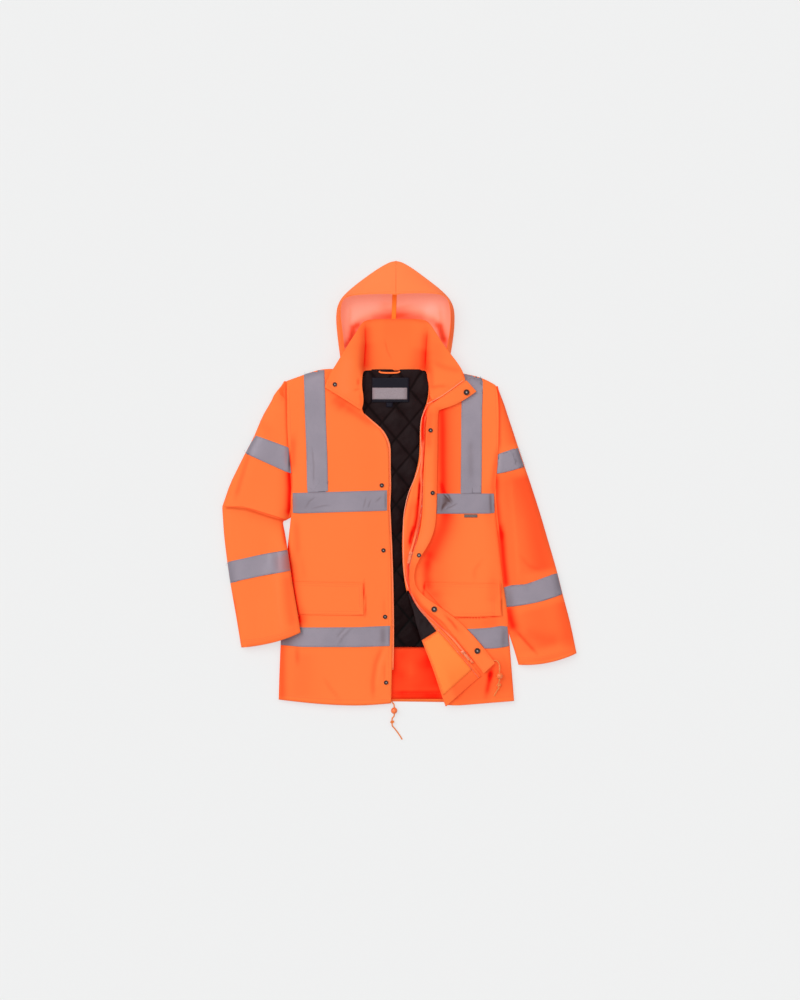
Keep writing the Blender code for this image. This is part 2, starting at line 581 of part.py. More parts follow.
# ---------------------------------------------------------------- sleeves
def sleeve_plan(side, ss, ts):
    table = Track(SLEEVE_R if side == "r" else SLEEVE_L)
    row = table.at(ss)
    outer, inner, bow = row[:, None, 0:2], row[:, None, 2:4], row[:, None, 4]
    t = np.asarray(ts)[None, :, None]
    plan = outer + (inner - outer) * t
    across_way = (inner - outer) / np.linalg.norm(inner - outer, axis=2, keepdims=True)
    down = np.concatenate([across_way[..., 1:], -across_way[..., :1]], axis=2)
    down = down * np.where(down[..., 1:] > 0, -1, 1)
    plan = plan + down * (bow[..., None] * 4 * t * (1 - t))
    sewn = 1 - soft(np.asarray(ss) / .1)[:, None]
    armhole = side_x[side].column("x", plan[..., 1])
    outward = 1 if side == "l" else -1
    plan[..., 0] = plan[..., 0] + sewn * (armhole + outward * INSET - plan[..., 0])
    clear = side_x[side].column("x", plan[..., 1]) + outward * INSET
    beside = plan[..., 1] > (armpit[side] if side == "r" else -1)
    inside = (plan[..., 0] - clear) * outward < 0
    plan[..., 0] = np.where(beside & inside, clear, plan[..., 0])
    width = np.linalg.norm(inner - outer, axis=2)
    return plan, width, row


def ride_up(side, plan):
    """Underside of a sleeve where it lies on the body instead of on the surface."""
    x, y = plan[..., 0], plan[..., 1]
    if side == "l":
        return 0 * x
    edge = side_x["r"].column("x", y)
    on_body = front_top("r", np.maximum(x, edge + 3), y) + 4.8
    climb = soft((x - edge + 43) / 32)
    along = soft((ARMPIT_R - 22 - y) / 60)
    return on_body * climb * along


SLEEVE_ACROSS = np.array([0, .012, .045, .11, .24, .42, .58, .72, .84, .92, .965, .99, 1])
SLEEVE_UNDER = [0, 1, 2, 3, 5, 7, 8, 9, 10, 11, 12]


def build_sleeve(side):
    table = SLEEVE_R if side == "r" else SLEEVE_L
    keys = [row[0] for row in table[1:]]
    ss = sorted(set(keys + [.03] + [(a + b) / 2 for a, b in zip(keys, keys[1:]) if b - a > .105]))
    plan, width, row = sleeve_plan(side, ss, SLEEVE_ACROSS)
    t = SLEEVE_ACROSS[None, :]
    top_height, slope = row[:, None, 5], row[:, None, 6]
    lift = ride_up(side, plan)
    from_outer, from_inner = t * width, (1 - t) * width
    rise = dome(from_outer / 26) * (.45 * dome(from_inner / 9) + .55 * soft(from_inner / slope))
    full = SEAM_Z + (top_height - SEAM_Z) * rise
    full = full + fold_height("sleeve_" + side, plan[..., 0], plan[..., 1]) * np.clip(rise * 1.3, 0, 1)
    full = full + lift * soft(from_outer / 60)
    sewn = 1 - soft(np.asarray(ss) / .13)[:, None]
    body = front_top(side, side_x[side].column("x", plan[..., 1]), plan[..., 1])
    level = full + (body - full) * sewn - SHELL / 2
    level = np.maximum(level, SEAM_Z + lift + GAP * .6)
    level[:, 0] = SEAM_Z + GAP * .6
    level[:, -1] = SEAM_Z + GAP * .6 + lift[:, -1]
    top = wall("sleeve_top_" + side, np.dstack([plan, level]), SHELL, "hi_vis")

    curl = np.maximum(1 - dome(from_outer / CUFF_CURL), 1 - dome(from_inner / CUFF_CURL))
    under = SHELL / 2 + lift + (SEAM_Z - GAP * .6 - SHELL / 2) * curl
    kept = SLEEVE_UNDER
    wall("sleeve_under_" + side, np.dstack([plan, under])[:, kept], SHELL, "hi_vis")
    return top


# ---------------------------------------------------------------- collar and hood
def build_collar():
    track = Track(numbered(COLLAR))
    stations = np.linspace(0, 1, 26)
    row = track.at(stations)
    seam, free = row[:, :3], row[:, 3:]
    shares = np.array([0, .3, .65, 1])
    middle = np.zeros((len(stations), len(shares), 3))
    for j, share in enumerate(shares):
        middle[:, j] = seam + (free - seam) * share
        middle[:, j, 2] += 3.0 * math.sin(math.pi * share)
    return wall("collar", middle, 2.6, "hi_vis")


def build_hood_half(side):
    track = Track(numbered(HOOD_R if side == "r" else HOOD_L))
    row = track.at(np.linspace(0, 1, 13))
    rim, outline, centre_y = row[:, :3], row[:, 3:5], row[:, 5]
    out = -1 if side == "r" else 1
    r = HOOD_TURN
    seam_x = HOOD_SEAM_X * (1 - np.linspace(0, 1, len(row)) ** 2) + out * GAP
    centre = np.stack([seam_x, centre_y], axis=1)
    inward = centre - outline
    inward = inward / np.linalg.norm(inward, axis=1)[:, None]
    to_rim = rim[:, :2] - outline
    reach = np.linalg.norm(to_rim, axis=1)[:, None]
    to_rim = to_rim / reach
    columns = []
    for share in (1, .66, .36, .14):
        spot = outline + to_rim * (r * .5 + (reach - r * .5) * share)
        height = 2 * r + (rim[:, 2:] - 2 * r) * share**1.25 + 5 * np.sin(np.pi * np.array(share))
        columns.append(np.hstack([spot, height]))
    for degrees in (40, 90, 140, 180):
        turn = math.radians(degrees)
        spot = outline + inward * r * (1 - math.sin(turn))
        columns.append(np.hstack([spot, np.full((len(row), 1), SHELL / 2 + r + r * math.cos(turn))]))
    start = outline + inward * r
    for share in (.4, .75, 1):
        spot = start + (centre - start) * share
        columns.append(np.hstack([spot, np.full((len(row), 1), SHELL / 2)]))
    middle = np.stack(columns, axis=1)
    middle[-1, :, 0] = out * GAP
    return wall("hood_" + side, middle, SHELL, "hi_vis")


def strip(centre, left, right, columns=2):
    """Plan points of a strip along a line of points, from left to right of it."""
    centre = np.asarray(centre, float)
    way = np.gradient(centre, axis=0)
    way = way / np.linalg.norm(way, axis=1)[:, None]
    side = np.stack([way[:, 1], -way[:, 0]], axis=1)
    return np.stack([centre + side * offset for offset in np.linspace(left, right, columns)], axis=1)


def line(*points, steps=8):
    """Evenly spaced plan points along straight pieces."""
    points = np.array(points, float)
    lengths = np.concatenate([[0], np.cumsum(np.linalg.norm(np.diff(points, axis=0), axis=1))])
    wanted = np.linspace(0, lengths[-1], steps)
    return np.stack([np.interp(wanted, lengths, points[:, k]) for k in (0, 1)], axis=1)


def between(first, second, columns):
    """Plan points between two lines of the same number of points."""
    shares = np.linspace(0, 1, columns)[None, :, None]
    return first[:, None] * (1 - shares) + second[:, None] * shares


# ---------------------------------------------------------------- what is sewn on
def build_tapes(trees):
    """Reflective tape: two braces and a chest band on the fronts, a band near the hem, two bands a sleeve."""
    lower_chest_r = line((-251, 460), (-246, 459), (-236, 458.5), (-22, 465), steps=14)
    upper_chest_r = line((-251, 508), (-246, 508), (-236, 508), (-22, 514.5), steps=14)
    lay_on("tape_chest_r", trees["front_r"], between(lower_chest_r, upper_chest_r, 4), TAPE, "reflective")
    brace = line((-190.5, 517.5), (-192, 600), (-196, 700), (-198, 770), (-198.5, 790), steps=13)
    lay_on("tape_brace_r", trees["front_r"], strip(brace, -TAPE_WIDTH / 2, TAPE_WIDTH / 2, 4),
           TAPE, "reflective")
    low = line((-280.5, 138), (-276, 138), (-264, 137), (-232, 134), (-90, 134), (-15.5, 136), steps=16)
    high = line((-279, 187), (-275, 187), (-264, 186), (-232, 181), (-90, 182), (-14.5, 185), steps=16)
    lay_on("tape_hem_r", trees["front_r"], between(low, high, 4), TAPE, "reflective", lift=.5)
    low = line((105, 457.5), (232, 458), (237.5, 459.5), (240, 460.5), steps=10)
    high = line((105, 506.5), (232, 506.5), (235.5, 506.5), (237.5, 506.5), steps=10)
    lay_on("tape_chest_l", trees["front_l"], between(low, high, 4), TAPE, "reflective")
    brace = line((182, 509.5), (183, 600), (183.5, 700), (184.5, 750), (186, 784), steps=13)
    lay_on("tape_brace_l", trees["front_l"], strip(brace, -TAPE_WIDTH / 2, TAPE_WIDTH / 2, 4),
           TAPE, "reflective")
    low = line((216, 130), (240, 130.5), (262, 133.5), (270, 135), (275, 136), steps=8)
    high = line((180, 178), (210, 178.5), (245, 181), (262, 184), (270.5, 185), steps=8)
    lay_on("tape_hem_l", trees["front_l"], between(low, high, 4), TAPE, "reflective")
    bands = {
        "tape_upper_r": ("r", line((-360.5, 604), (-356, 602), (-345, 597), (-259.5, 555), steps=11),
                         line((-340, 648), (-335, 646.5), (-326, 643), (-264.5, 618), steps=11)),
        "tape_lower_r": ("r", line((-402, 290), (-397, 292), (-387, 294), (-330, 306), (-270, 317),
                                   (-260, 319),
                                   (-258, 319.5), steps=14),
                         line((-409, 339), (-405, 340), (-396, 343), (-325, 359), (-275, 367), (-264, 368),
                              (-262.5, 368), steps=14)),
        "tape_upper_l": ("l", line((251, 556), (262, 557), (296, 568), (303, 571.5), (307.5, 573.5), steps=8),
                         line((251.5, 603), (262, 604), (282, 612), (287, 614.5), (291.5, 617), steps=8)),
        "tape_lower_l": ("l", line((274, 233), (278, 233), (301, 235), (338, 241), (370, 252), (394, 261),
                                   (401.5, 263.5), steps=14),
                         line((267.5, 280.5), (272, 281), (295, 282.5), (333, 290), (361, 300.5),
                              (383, 309.5),
                              (389.5, 312), steps=14)),
    }
    for name, (side, low, high) in bands.items():
        lay_on(name, trees["sleeve_" + side], between(low, high, 4), TAPE, "reflective")


def build_pocket_flaps(trees):
    """Pocket flaps, sewn along their top edge."""
    for side, low, high in (
        ("r", line((-257, 213), (-79, 211), steps=9), line((-257, 293), (-81, 289), steps=9)),
        ("l", line((148, 205), (258, 209), steps=7), line((72, 291), (255, 287), steps=7)),
    ):
        lay_on("pocket_flap_" + side, trees["front_" + side], between(low, high, 5), 1.5, "hi_vis", lift=.8)


def build_facing_and_corner(trees):
    """Inside of the turned-back corner: quilted lining above, facing below, hem turn left bare."""
    vs = np.array([.235, .26, .28, .3, .32, .335])
    roll_line, zip_side = Track(ROLL_L).at(vs), Track(ZIP_L).at(vs)[:, :2]
    way = zip_side - roll_line
    size = np.linalg.norm(way, axis=1)[:, None]
    radius = Track(ZIP_L).at(vs)[:, 2][:, None]
    inner = roll_line + way / size * radius * .8
    outer = zip_side - way / size * 8
    outer[0], inner[0] = (98, 173), (58, 148)
    lay_on("front_lining_l", trees["front_l"], between(inner, outer, 4), 2.4, "lining", lift=.6)
    low = line((113, 17), (152, 49), (184, 79), steps=6)
    high = line((62, 146), (80, 158), (102, 172), steps=6)
    plan = between(low, high, 7)
    shares = np.linspace(0, 1, 7)
    roll_y = plan[0, :, 1]
    for k in range(7):
        plan[0, k, 0] = front_x["l"].column("x", roll_y[k]) + 5
        plan[-1, k] = (184 + (102 - 184) * shares[k], 79 + (172 - 79) * shares[k])
        plan[:, k] = line(plan[0, k], plan[-1, k], steps=6)
    lay_on("front_facing_l", trees["front_l"], plan, 1.0, "facing", lift=.6)


def build_storm_flap(trees):
    """Storm flap of the left front: laid open over the panel, twisted where the front edge bends."""
    track = Track(numbered(FLAP_L))
    row = track.at(np.linspace(0, 1, 36))
    shares = (0, .3, .68, 1)
    middle = np.zeros((len(row), len(shares), 3))
    for i in range(len(row)):
        for j, share in enumerate(shares):
            x, y = row[i, :2] + (row[i, 2:4] - row[i, :2]) * share
            floor = float(front_top("l", np.array(x), np.array(y)))
            lift = row[i, 4] + (row[i, 5] - row[i, 4]) * share
            middle[i, j] = x, y, floor + lift + 1.6 * math.sin(math.pi * share)
    return wall("storm_flap_l", middle, 1.8, "hi_vis")


def build_zips(trees):
    """Zip tapes: one under the right front's edge, one along the rolled left edge."""
    vs = np.concatenate([np.linspace(.095, .78, 12), [.8, .82, .835, .85, .8625, .875, .89, .905, .92]])
    edge = Track(EDGE_R).at(vs)
    plan = strip(edge, -4.2, 4.2)
    x, y = plan[..., 0], plan[..., 1]
    level = front_top("r", np.minimum(x, edge[:, None, 0]), y) - SHELL - GAP - .9
    tape_r = wall("zip_tape_r", np.dstack([plan, level]), 1.2, "zip")
    vs = np.linspace(.06, .86, 30)
    edge = Track(ZIP_L).at(vs)
    roll_line = Track(ROLL_L).at(vs)
    way = edge[:, :2] - roll_line
    way = way / np.linalg.norm(way, axis=1)[:, None]
    plan = between(edge[:, :2] + way * (edge[:, 3:] - ZIP_WIDTH / 2),
                   edge[:, :2] + way * (edge[:, 3:] + ZIP_WIDTH / 2), 2)
    level = front_top("l", plan[..., 0], plan[..., 1]) + np.array([4.5, 4.6])[None, :]
    tape_l = wall("zip_tape_l", np.dstack([plan, level]), ZIP_THICK, "zip")
    return tape_r, tape_l


def prism(profile, width):
    """Points and faces of an outline in the plane of along and up, run across by a width."""
    count = len(profile)
    points = [(x, side * width / 2, z) for side in (-1, 1) for x, z in profile]
    faces = [tuple(range(count)), tuple(range(2 * count - 1, count - 1, -1))]
    faces += [(i, (i + 1) % count, count + (i + 1) % count, count + i) for i in range(count)]
    return points, faces


def fused(name, pieces, frame, colour):
    """One solid from overlapping convex pieces, in the slider's own frame."""
    solids = []
    for points, faces in pieces:
        mesh = bpy.data.meshes.new(name)
        mesh.from_pydata(points, [], faces)
        work = bmesh.new()
        work.from_mesh(mesh)
        bmesh.ops.recalc_face_normals(work, faces=work.faces[:])
        work.to_mesh(mesh)
        work.free()
        obj = bpy.data.objects.new(name + "_piece", mesh)
        bpy.context.scene.collection.objects.link(obj)
        solids.append(obj)
    first = solids[0]
    for other in solids[1:]:
        modifier = first.modifiers.new("join", "BOOLEAN")
        modifier.operation, modifier.solver, modifier.object = "UNION", "EXACT", other
    bpy.context.view_layer.update()
    result = bpy.data.meshes.new_from_object(first.evaluated_get(bpy.context.evaluated_depsgraph_get()))
    points = [frame @ v.co for v in result.vertices]
    faces = [tuple(p.vertices) for p in result.polygons]
    for obj in solids:
        bpy.data.objects.remove(obj)
    return add_object(name, points, faces, colour, smooth=False)


def block(x0, x1, y0, y1, z0, z1):
    points, faces = prism([(x0, z0), (x1, z0), (x1, z1), (x0, z1)], y1 - y0)
    return [(x, y + (y0 + y1) / 2, z) for x, y, z in points], faces


def rod(radius, width, height, sides=8):
    turns = [2 * math.pi * (k + .5) / sides for k in range(sides)]
    return prism([(radius * math.cos(t), height + radius * math.sin(t)) for t in turns], width)


def build_zip_pull(name, tree, place, along):
    """A slider on the zip, with a bar that its pull tab hangs from."""
    here, way = stand_off(tree, *place, reach=2.0)
    frame = frame_at(here + way * SLIDER_LIFT, along, way)
    half = SLIDER_WIDTH / 2
    nose = [(-5.5, 0), (4.6, 0), (5.5, .6), (5.5, 1.9), (4.6, SLIDER_TALL), (-4.6, SLIDER_TALL), (-5.5, 1.9)]
    pieces = [prism(nose, SLIDER_WIDTH)]
    for side in (-1, 1):
        inner, outer = sorted((side * (half - 1.2), side * half))
        pieces.append(block(-.9, .9, inner, outer, SLIDER_TALL - .4, BAR_Z + BAR_RADIUS))
    pieces.append(rod(BAR_RADIUS, SLIDER_WIDTH - .4, BAR_Z))
    fused("slider_" + name, pieces, frame, "zip")

    # The pull tab: an eye round the bar, a neck, and a plate that widens past the slider.
    turns = [2 * math.pi * k / 12 for k in range(12)]
    eye_outer = [(EYE_OUTER * math.cos(t), EYE_OUTER * math.sin(t)) for t in turns]
    eye_inner = [(EYE_INNER * math.cos(t), EYE_INNER * math.sin(t)) for t in turns]
    half_eye = EYE_WIDTH / 2
    points, faces = [], []
    for side in (-1, 1):
        points += [(x, side * half_eye, z) for x, z in eye_outer]
        points += [(x, side * half_eye, z) for x, z in eye_inner]
    for k in range(12):
        n = (k + 1) % 12
        faces += [(k, n, 12 + n, 12 + k), (24 + n, 24 + k, 36 + k, 36 + n),
                  (n, k, 24 + k, 24 + n), (12 + k, 12 + n, 36 + n, 36 + k)]
    lean = Matrix.Rotation(TAB_REST, 4, "Y")
    outline = [(-1.5, -half_eye), (-1.5, half_eye), (-6, half_eye), (-8, TAB_WIDTH / 2),
               (-TAB_LENGTH + 1.5, TAB_WIDTH / 2),
               (-TAB_LENGTH, TAB_WIDTH / 2 - 1.5), (-TAB_LENGTH, 1.5 - TAB_WIDTH / 2),
               (-TAB_LENGTH + 1.5, -TAB_WIDTH / 2), (-8, -TAB_WIDTH / 2), (-6, -half_eye)]
    plate = [(x, y, z * TAB_THICK / 2) for z in (-1, 1) for x, y in outline]
    count = len(outline)
    plate_faces = [tuple(range(count)), tuple(range(2 * count - 1, count - 1, -1))]
    plate_faces += [(i, (i + 1) % count, count + (i + 1) % count, count + i) for i in range(count)]
    tab_frame = frame @ Matrix.Translation((0, 0, BAR_Z)) @ lean
    tab = fused("pull_tab_" + name, [(points, faces), (plate, plate_faces)], tab_frame, "zip")
    pivots[tab.name] = frame @ Vector((0, 0, BAR_Z)), frame.to_3x3() @ Vector((0, 1, 0))


def build_studs(trees):
    """Press studs: small sockets down the right front, larger caps on the left flap and collar."""
    socket = [(0, 0), (STUD_RADIUS, 0), (STUD_RADIUS, 1.0), (3.4, 1.9), (0, 1.3)]
    cap = [(0, 0), (CAP_RADIUS, 0), (CAP_RADIUS, 1.0), (4.6, 2.2), (0, 1.5)]
    places = {
        "stud_r1": (-34.5, 526.5, "front_r", socket, None),
        "stud_r2": (-30.5, 368.5, "front_r", socket, None),
        "stud_r3": (-26.5, 207, "front_r", socket, None), "stud_r4": (-24, 47, "front_r", socket, None),
        "stud_collar_r": (-148, 771, "collar", socket, None),
        "stud_collar_l": (171, 752, "storm_flap_l", cap, None),
        "stud_l1": (84, 660, "storm_flap_l", socket, (-.8, 0, .6)),
        "stud_l2": (89, 508, "storm_flap_l", socket, None),
        "stud_l3": (56, 357, "storm_flap_l", socket, None), "stud_l4": (93, 226, "storm_flap_l", cap, None),
        "stud_l5": (197.5, 125, "storm_flap_l", cap, None),
    }
    for name, (x, y, panel, profile, lean) in places.items():
        here, way = stand_off(trees[panel], x, y)
        turned(name, profile, here + way * .9, way, "stud", sides=12)


def flat_piece(name, plan, foot, thickness, colour):
    """A flat piece of cloth at one height."""
    lower = np.dstack([plan, np.full(plan.shape[:2], foot)])
    upper = np.dstack([plan, np.full(plan.shape[:2], foot + thickness)])
    return close_wall(name, lower, upper, colour)


def rectangle(x0, y0, x1, y1, columns=2, rows=2):
    return between(line((x0, y0), (x0, y1), steps=rows), line((x1, y0), (x1, y1), steps=rows), columns)


def build_neck_pieces():
    """Blank woven label with a lighter panel, a size tab below it, and the hanging loop."""
    foot = SHELL + GAP + LINING_PLAIN + LINING_PUFF + GAP
    flat_piece("label", rectangle(-59, 729, 32, 789), foot, .6, "label")
    flat_piece("label_panel", rectangle(-57.5, 736, 27, 764), foot + .6 + GAP, .3, "label_print")
    flat_piece("size_tab", rectangle(-24, 717, -8, 728.5), foot, .6, "label")
    turns = np.linspace(0, math.pi, 9)
    path = np.stack([-16 - 25 * np.cos(turns), 804.6 - 4.5 * np.sin(turns) ** .5], axis=1)
    path[0, 1] = path[-1, 1] = 804.6
    flat_piece("hanging_loop", strip(path, -2, 2), foot, 1.6, "hi_vis")


def build_hood_tape():
    """Tape over the hood's middle seam, on its inside."""
    ys = np.linspace(822, 1030, 6)
    middle = HOOD_SEAM_X * (1 - ((ys - 818) / 242) ** 2)
    plan = strip(np.stack([middle, ys], axis=1), -5.5, 5.5)
    flat_piece("hood_seam_tape", plan, SHELL + GAP, .5, "facing")


def ball(name, place, direction, radius, bore, colour, sides=10):
    """A bead or a tight knot, with the cord's way through it."""
    reach = math.sqrt(radius**2 - bore**2)
    slopes = np.radians((-42, -12, 18, 48))
    stations = [(bore, -reach)] + [(radius * math.cos(t), radius * math.sin(t)) for t in slopes]
    stations += [(bore, reach)]
    return turned(name, stations, place, direction, colour, sides)


def build_drawcords():
    """Hem drawcords with a bead and a knot on each."""
    def on_body(x, y, up):
        return float(front_top("l", np.array(x), np.array(y))) + up

    cords = {
        "r": ([(-17, 8, 8.6), (-8, -3, 8.7), (-4.5, -10, 8.7), (-4.5, -34, 8.7), (-9.2, -41, 6.8),
               (-9.2, -58, 6.8),
               (-5, -64, 4.0), (2, -73, 2.2), (9, -83, 2.0), (15, -93, 2.0)], 2, 4),
        "l": ([(230, 97.5, on_body(230, 97.5, 3.2)), (240, 101, on_body(240, 101, 3.2)),
               (247, 99, on_body(247, 99, 4.2)), (251, 90, on_body(251, 90, 6.6)),
               (251, 77, on_body(251, 77, 8.9)), (251, 52, on_body(251, 77, 8.9)),
               (250, 50, on_body(250, 50, 7)),
               (249, 35, on_body(250, 50, 7)), (247, 31, on_body(247, 31, 5.2)),
               (244, 26, on_body(244, 26, 2.8)),
               (238, 15, on_body(238, 15, 2.4))], 4, 6),
    }
    bore = CORD_DIAMETER / 2 + GAP + .1
    for side, (route, bead_leg, knot_leg) in cords.items():
        for kind, leg, radius in (("bead", bead_leg, BEAD_RADIUS), ("knot", knot_leg, KNOT_RADIUS)):
            first, last = Vector(route[leg]), Vector(route[leg + 1])
            ball("cord_%s_%s" % (kind, side), (first + last) / 2, last - first, radius, bore, "cord")
        curve = bpy.data.curves.new("cord_" + side, "CURVE")
        curve.dimensions, curve.bevel_depth = "3D", CORD_DIAMETER / 2 * MM
        curve.bevel_resolution, curve.use_fill_caps = 2, True
        run = even_route(route, CORD_DIAMETER * 2)
        spline = curve.splines.new("POLY")
        spline.points.add(len(run) - 1)
        for point, place in zip(spline.points, run):
            point.co = (*(Vector(place) * MM), 1)
        curve.materials.append(new_material(curve.name, "cord"))
        obj = bpy.data.objects.new("cord_" + side, curve)
        bpy.context.scene.collection.objects.link(obj)
        made.append(obj)


def even_route(route, spacing):
    """The route with points added so that none are further apart than the spacing."""
    run = [route[0]]
    for first, last in zip(route, route[1:]):
        first, last = np.array(first), np.array(last)
        steps = max(1, math.ceil(np.linalg.norm(last - first) / spacing))
        run += [tuple(first + (last - first) * k / steps) for k in range(1, steps + 1)]
    return run


def centre_on_footprint():
    """Moves everything so that the cloth's footprint is centred on the origin."""
    corners = [v.co for obj in made if obj.type == "MESH" and not obj.name.startswith("cord_")
               for v in obj.data.vertices]
    middle = [(min(c[k] for c in corners) + max(c[k] for c in corners)) / 2 for k in (0, 1)]
    print("footprint centre", [round(m / MM, 3) for m in middle])
    shift = Matrix.Translation((-middle[0], -middle[1], 0))
    for obj in made:
        if obj.type == "MESH":
            obj.data.transform(shift)
        else:
            for point in obj.data.splines[0].points:
                point.co = shift @ point.co
    for name, (place, way) in pivots.items():
        print(name, "turns on", [round(c * MM - m, 6) for c, m in zip(place, (*middle, 0))],
              "about", [round(c, 5) for c in way])
        tab = bpy.data.objects[name]
        pivot = Vector(place) * MM - Vector((*middle, 0))
        tab.data.transform(Matrix.Translation(-pivot))
        tab.location = pivot


def main():
    for old in list(bpy.data.objects):
        bpy.data.objects.remove(old)
    back = build_back()
    front_r = build_front_r()
    front_l = build_front_l()
    lining = build_lining()
    build_hem_facing()
    sleeve_r = build_sleeve("r")
    sleeve_l = build_sleeve("l")
    collar = build_collar()
    build_hood_half("r")
    build_hood_half("l")
    trees = {
        "front_r": surface_of(front_r), "front_l": surface_of(front_l), "collar": surface_of(collar),
        "sleeve_r": surface_of(sleeve_r), "sleeve_l": surface_of(sleeve_l), "back_lining": surface_of(lining),
    }
    build_tapes(trees)
    build_pocket_flaps(trees)
    build_facing_and_corner(trees)
    storm_flap = build_storm_flap(trees)
    trees["storm_flap_l"] = surface_of(storm_flap)
    _, zip_l = build_zips(trees)
    trees["zip_tape_l"] = surface_of(zip_l)
    build_zip_pull("upper", trees["zip_tape_l"], (34.8, 360), (.2, 1, 0))
    build_zip_pull("lower", trees["zip_tape_l"], (163, 121), (-.64, .77, 0))
    build_studs(trees)
    build_neck_pieces()
    build_hood_tape()
    build_drawcords()
    lay_on("side_tab", trees["front_l"], rectangle(165.7, 448.6, 197.3, 456.0, columns=4), 1.0, "label_print")
    centre_on_footprint()


main()
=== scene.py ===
# A hi-vis work jacket lying flat and open: cloth, tape, quilting, zip, studs and cords on the fitted frame.
# Tables are in the pattern's millimetres: zero is at the hem below the neck, X to the right and Y to the collar.
import math

import bmesh
import bpy
import numpy as np
from mathutils import Matrix, Vector
from mathutils.bvhtree import BVHTree


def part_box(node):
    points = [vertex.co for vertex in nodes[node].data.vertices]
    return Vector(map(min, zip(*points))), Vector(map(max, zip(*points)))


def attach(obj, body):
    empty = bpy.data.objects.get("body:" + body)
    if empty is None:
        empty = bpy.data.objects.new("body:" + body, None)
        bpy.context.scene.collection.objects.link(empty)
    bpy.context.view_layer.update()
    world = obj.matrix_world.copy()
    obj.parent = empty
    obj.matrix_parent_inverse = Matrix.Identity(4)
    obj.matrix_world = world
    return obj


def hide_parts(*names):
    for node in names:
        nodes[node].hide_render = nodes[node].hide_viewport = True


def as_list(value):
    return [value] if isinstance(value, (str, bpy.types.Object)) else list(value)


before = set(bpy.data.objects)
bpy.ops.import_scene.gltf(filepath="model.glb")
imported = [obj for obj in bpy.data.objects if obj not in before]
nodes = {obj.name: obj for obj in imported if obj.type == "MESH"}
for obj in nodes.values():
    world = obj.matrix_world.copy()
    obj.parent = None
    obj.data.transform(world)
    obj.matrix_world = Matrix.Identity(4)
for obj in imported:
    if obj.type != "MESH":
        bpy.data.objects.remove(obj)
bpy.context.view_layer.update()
mm = 0.001
zeroX, zeroY = -8.991, -530.21  # the pattern's zero on the floor, in millimetres


def metres(x, y):  # the pattern's millimetres on the floor, in metres
    return (x + zeroX) * mm, (y + zeroY) * mm


def place(x, y, z=0.0):
    return Vector((*metres(x, y), z * mm))


def patternOf(points):  # metres back to the pattern's millimetres
    return points[:, 0] / mm - zeroX, points[:, 1] / mm - zeroY


def soft(t):  # 0 to 1 with soft ends
    t = np.clip(t, 0, 1)
    return t * t * (3 - 2 * t)


# camera and light
view = {"lens": 85.0, "sensor": 36.0, "aimX": 9.72, "aimY": 490.86, "height": 5757.5, "farthest": 50}
studio = {
    "ambient": (.97, .985, 1.0), "ambientPower": .46,
    "key": (-.62, .5, 1.0), "keyPower": 1.30, "keyAngle": 50,
    "top": (.12, .08, 1.0), "topPower": .98, "topAngle": 80,
    "floor": (.264, .264, .264), "floorGlow": (.583, .585, .583), "floorWide": 14, "floorUnder": -.0004,
}


def setCamera():
    lens = bpy.data.cameras.new("camera")
    lens.lens, lens.sensor_width = view["lens"], view["sensor"]
    lens.clip_end = view["farthest"]
    camera = bpy.data.objects.new("camera", lens)
    camera.location = place(view["aimX"], view["aimY"], view["height"])
    bpy.context.collection.objects.link(camera)
    bpy.context.scene.camera = camera


def setLight(name, towards, power, angle):
    lamp = bpy.data.lights.new(name, "SUN")
    lamp.energy, lamp.angle = power, math.radians(angle)
    holder = bpy.data.objects.new(name, lamp)
    holder.rotation_euler = Vector(towards).to_track_quat("Z", "Y").to_euler()
    bpy.context.collection.objects.link(holder)


def setStudio():
    world = bpy.data.worlds.new("studio")
    bpy.context.scene.world = world
    world.use_nodes = True
    sky = world.node_tree.nodes["Background"]
    sky.inputs["Color"].default_value = (*studio["ambient"], 1)
    sky.inputs["Strength"].default_value = studio["ambientPower"]
    setLight("key", studio["key"], studio["keyPower"], studio["keyAngle"])
    setLight("top", studio["top"], studio["topPower"], studio["topAngle"])
    bpy.context.scene.view_settings.view_transform = "Standard"


setCamera()
setStudio()
print("camera and light set")


# materials
class Wire:  # a socket that can be added, multiplied and so on
    def __init__(self, finish, socket):
        self.finish, self.socket = finish, socket

    def step(self, operation, *values, clamp=False):
        settings = {"operation": operation, "use_clamp": clamp}
        return self.finish.node("ShaderNodeMath", settings, dict(enumerate(values)))

    def __add__(self, other):
        return self.step("ADD", self, other)

    def __radd__(self, other):
        return self.step("ADD", other, self)

    def __sub__(self, other):
        return self.step("SUBTRACT", self, other)

    def __rsub__(self, other):
        return self.step("SUBTRACT", other, self)

    def __mul__(self, other):
        return self.step("MULTIPLY", self, other)

    def __rmul__(self, other):
        return self.step("MULTIPLY", other, self)

    def __pow__(self, other):
        return self.step("POWER", self, other)

    def __abs__(self):
        return self.step("ABSOLUTE", self)

    def wave(self):
        return self.step("SINE", self)

    def over(self, limit):  # 1 where it is larger
        return self.step("GREATER_THAN", self, limit)

    def held(self):  # kept between 0 and 1
        return self.step("ADD", self, 0.0, clamp=True)

    def between(self, low=.3, high=.7):  # 0 at low, 1 at high, soft between them
        settings = {"interpolation_type": "SMOOTHSTEP"}
        return self.finish.node("ShaderNodeMapRange", settings, {0: self, 1: low, 2: high, 3: 0.0, 4: 1.0})


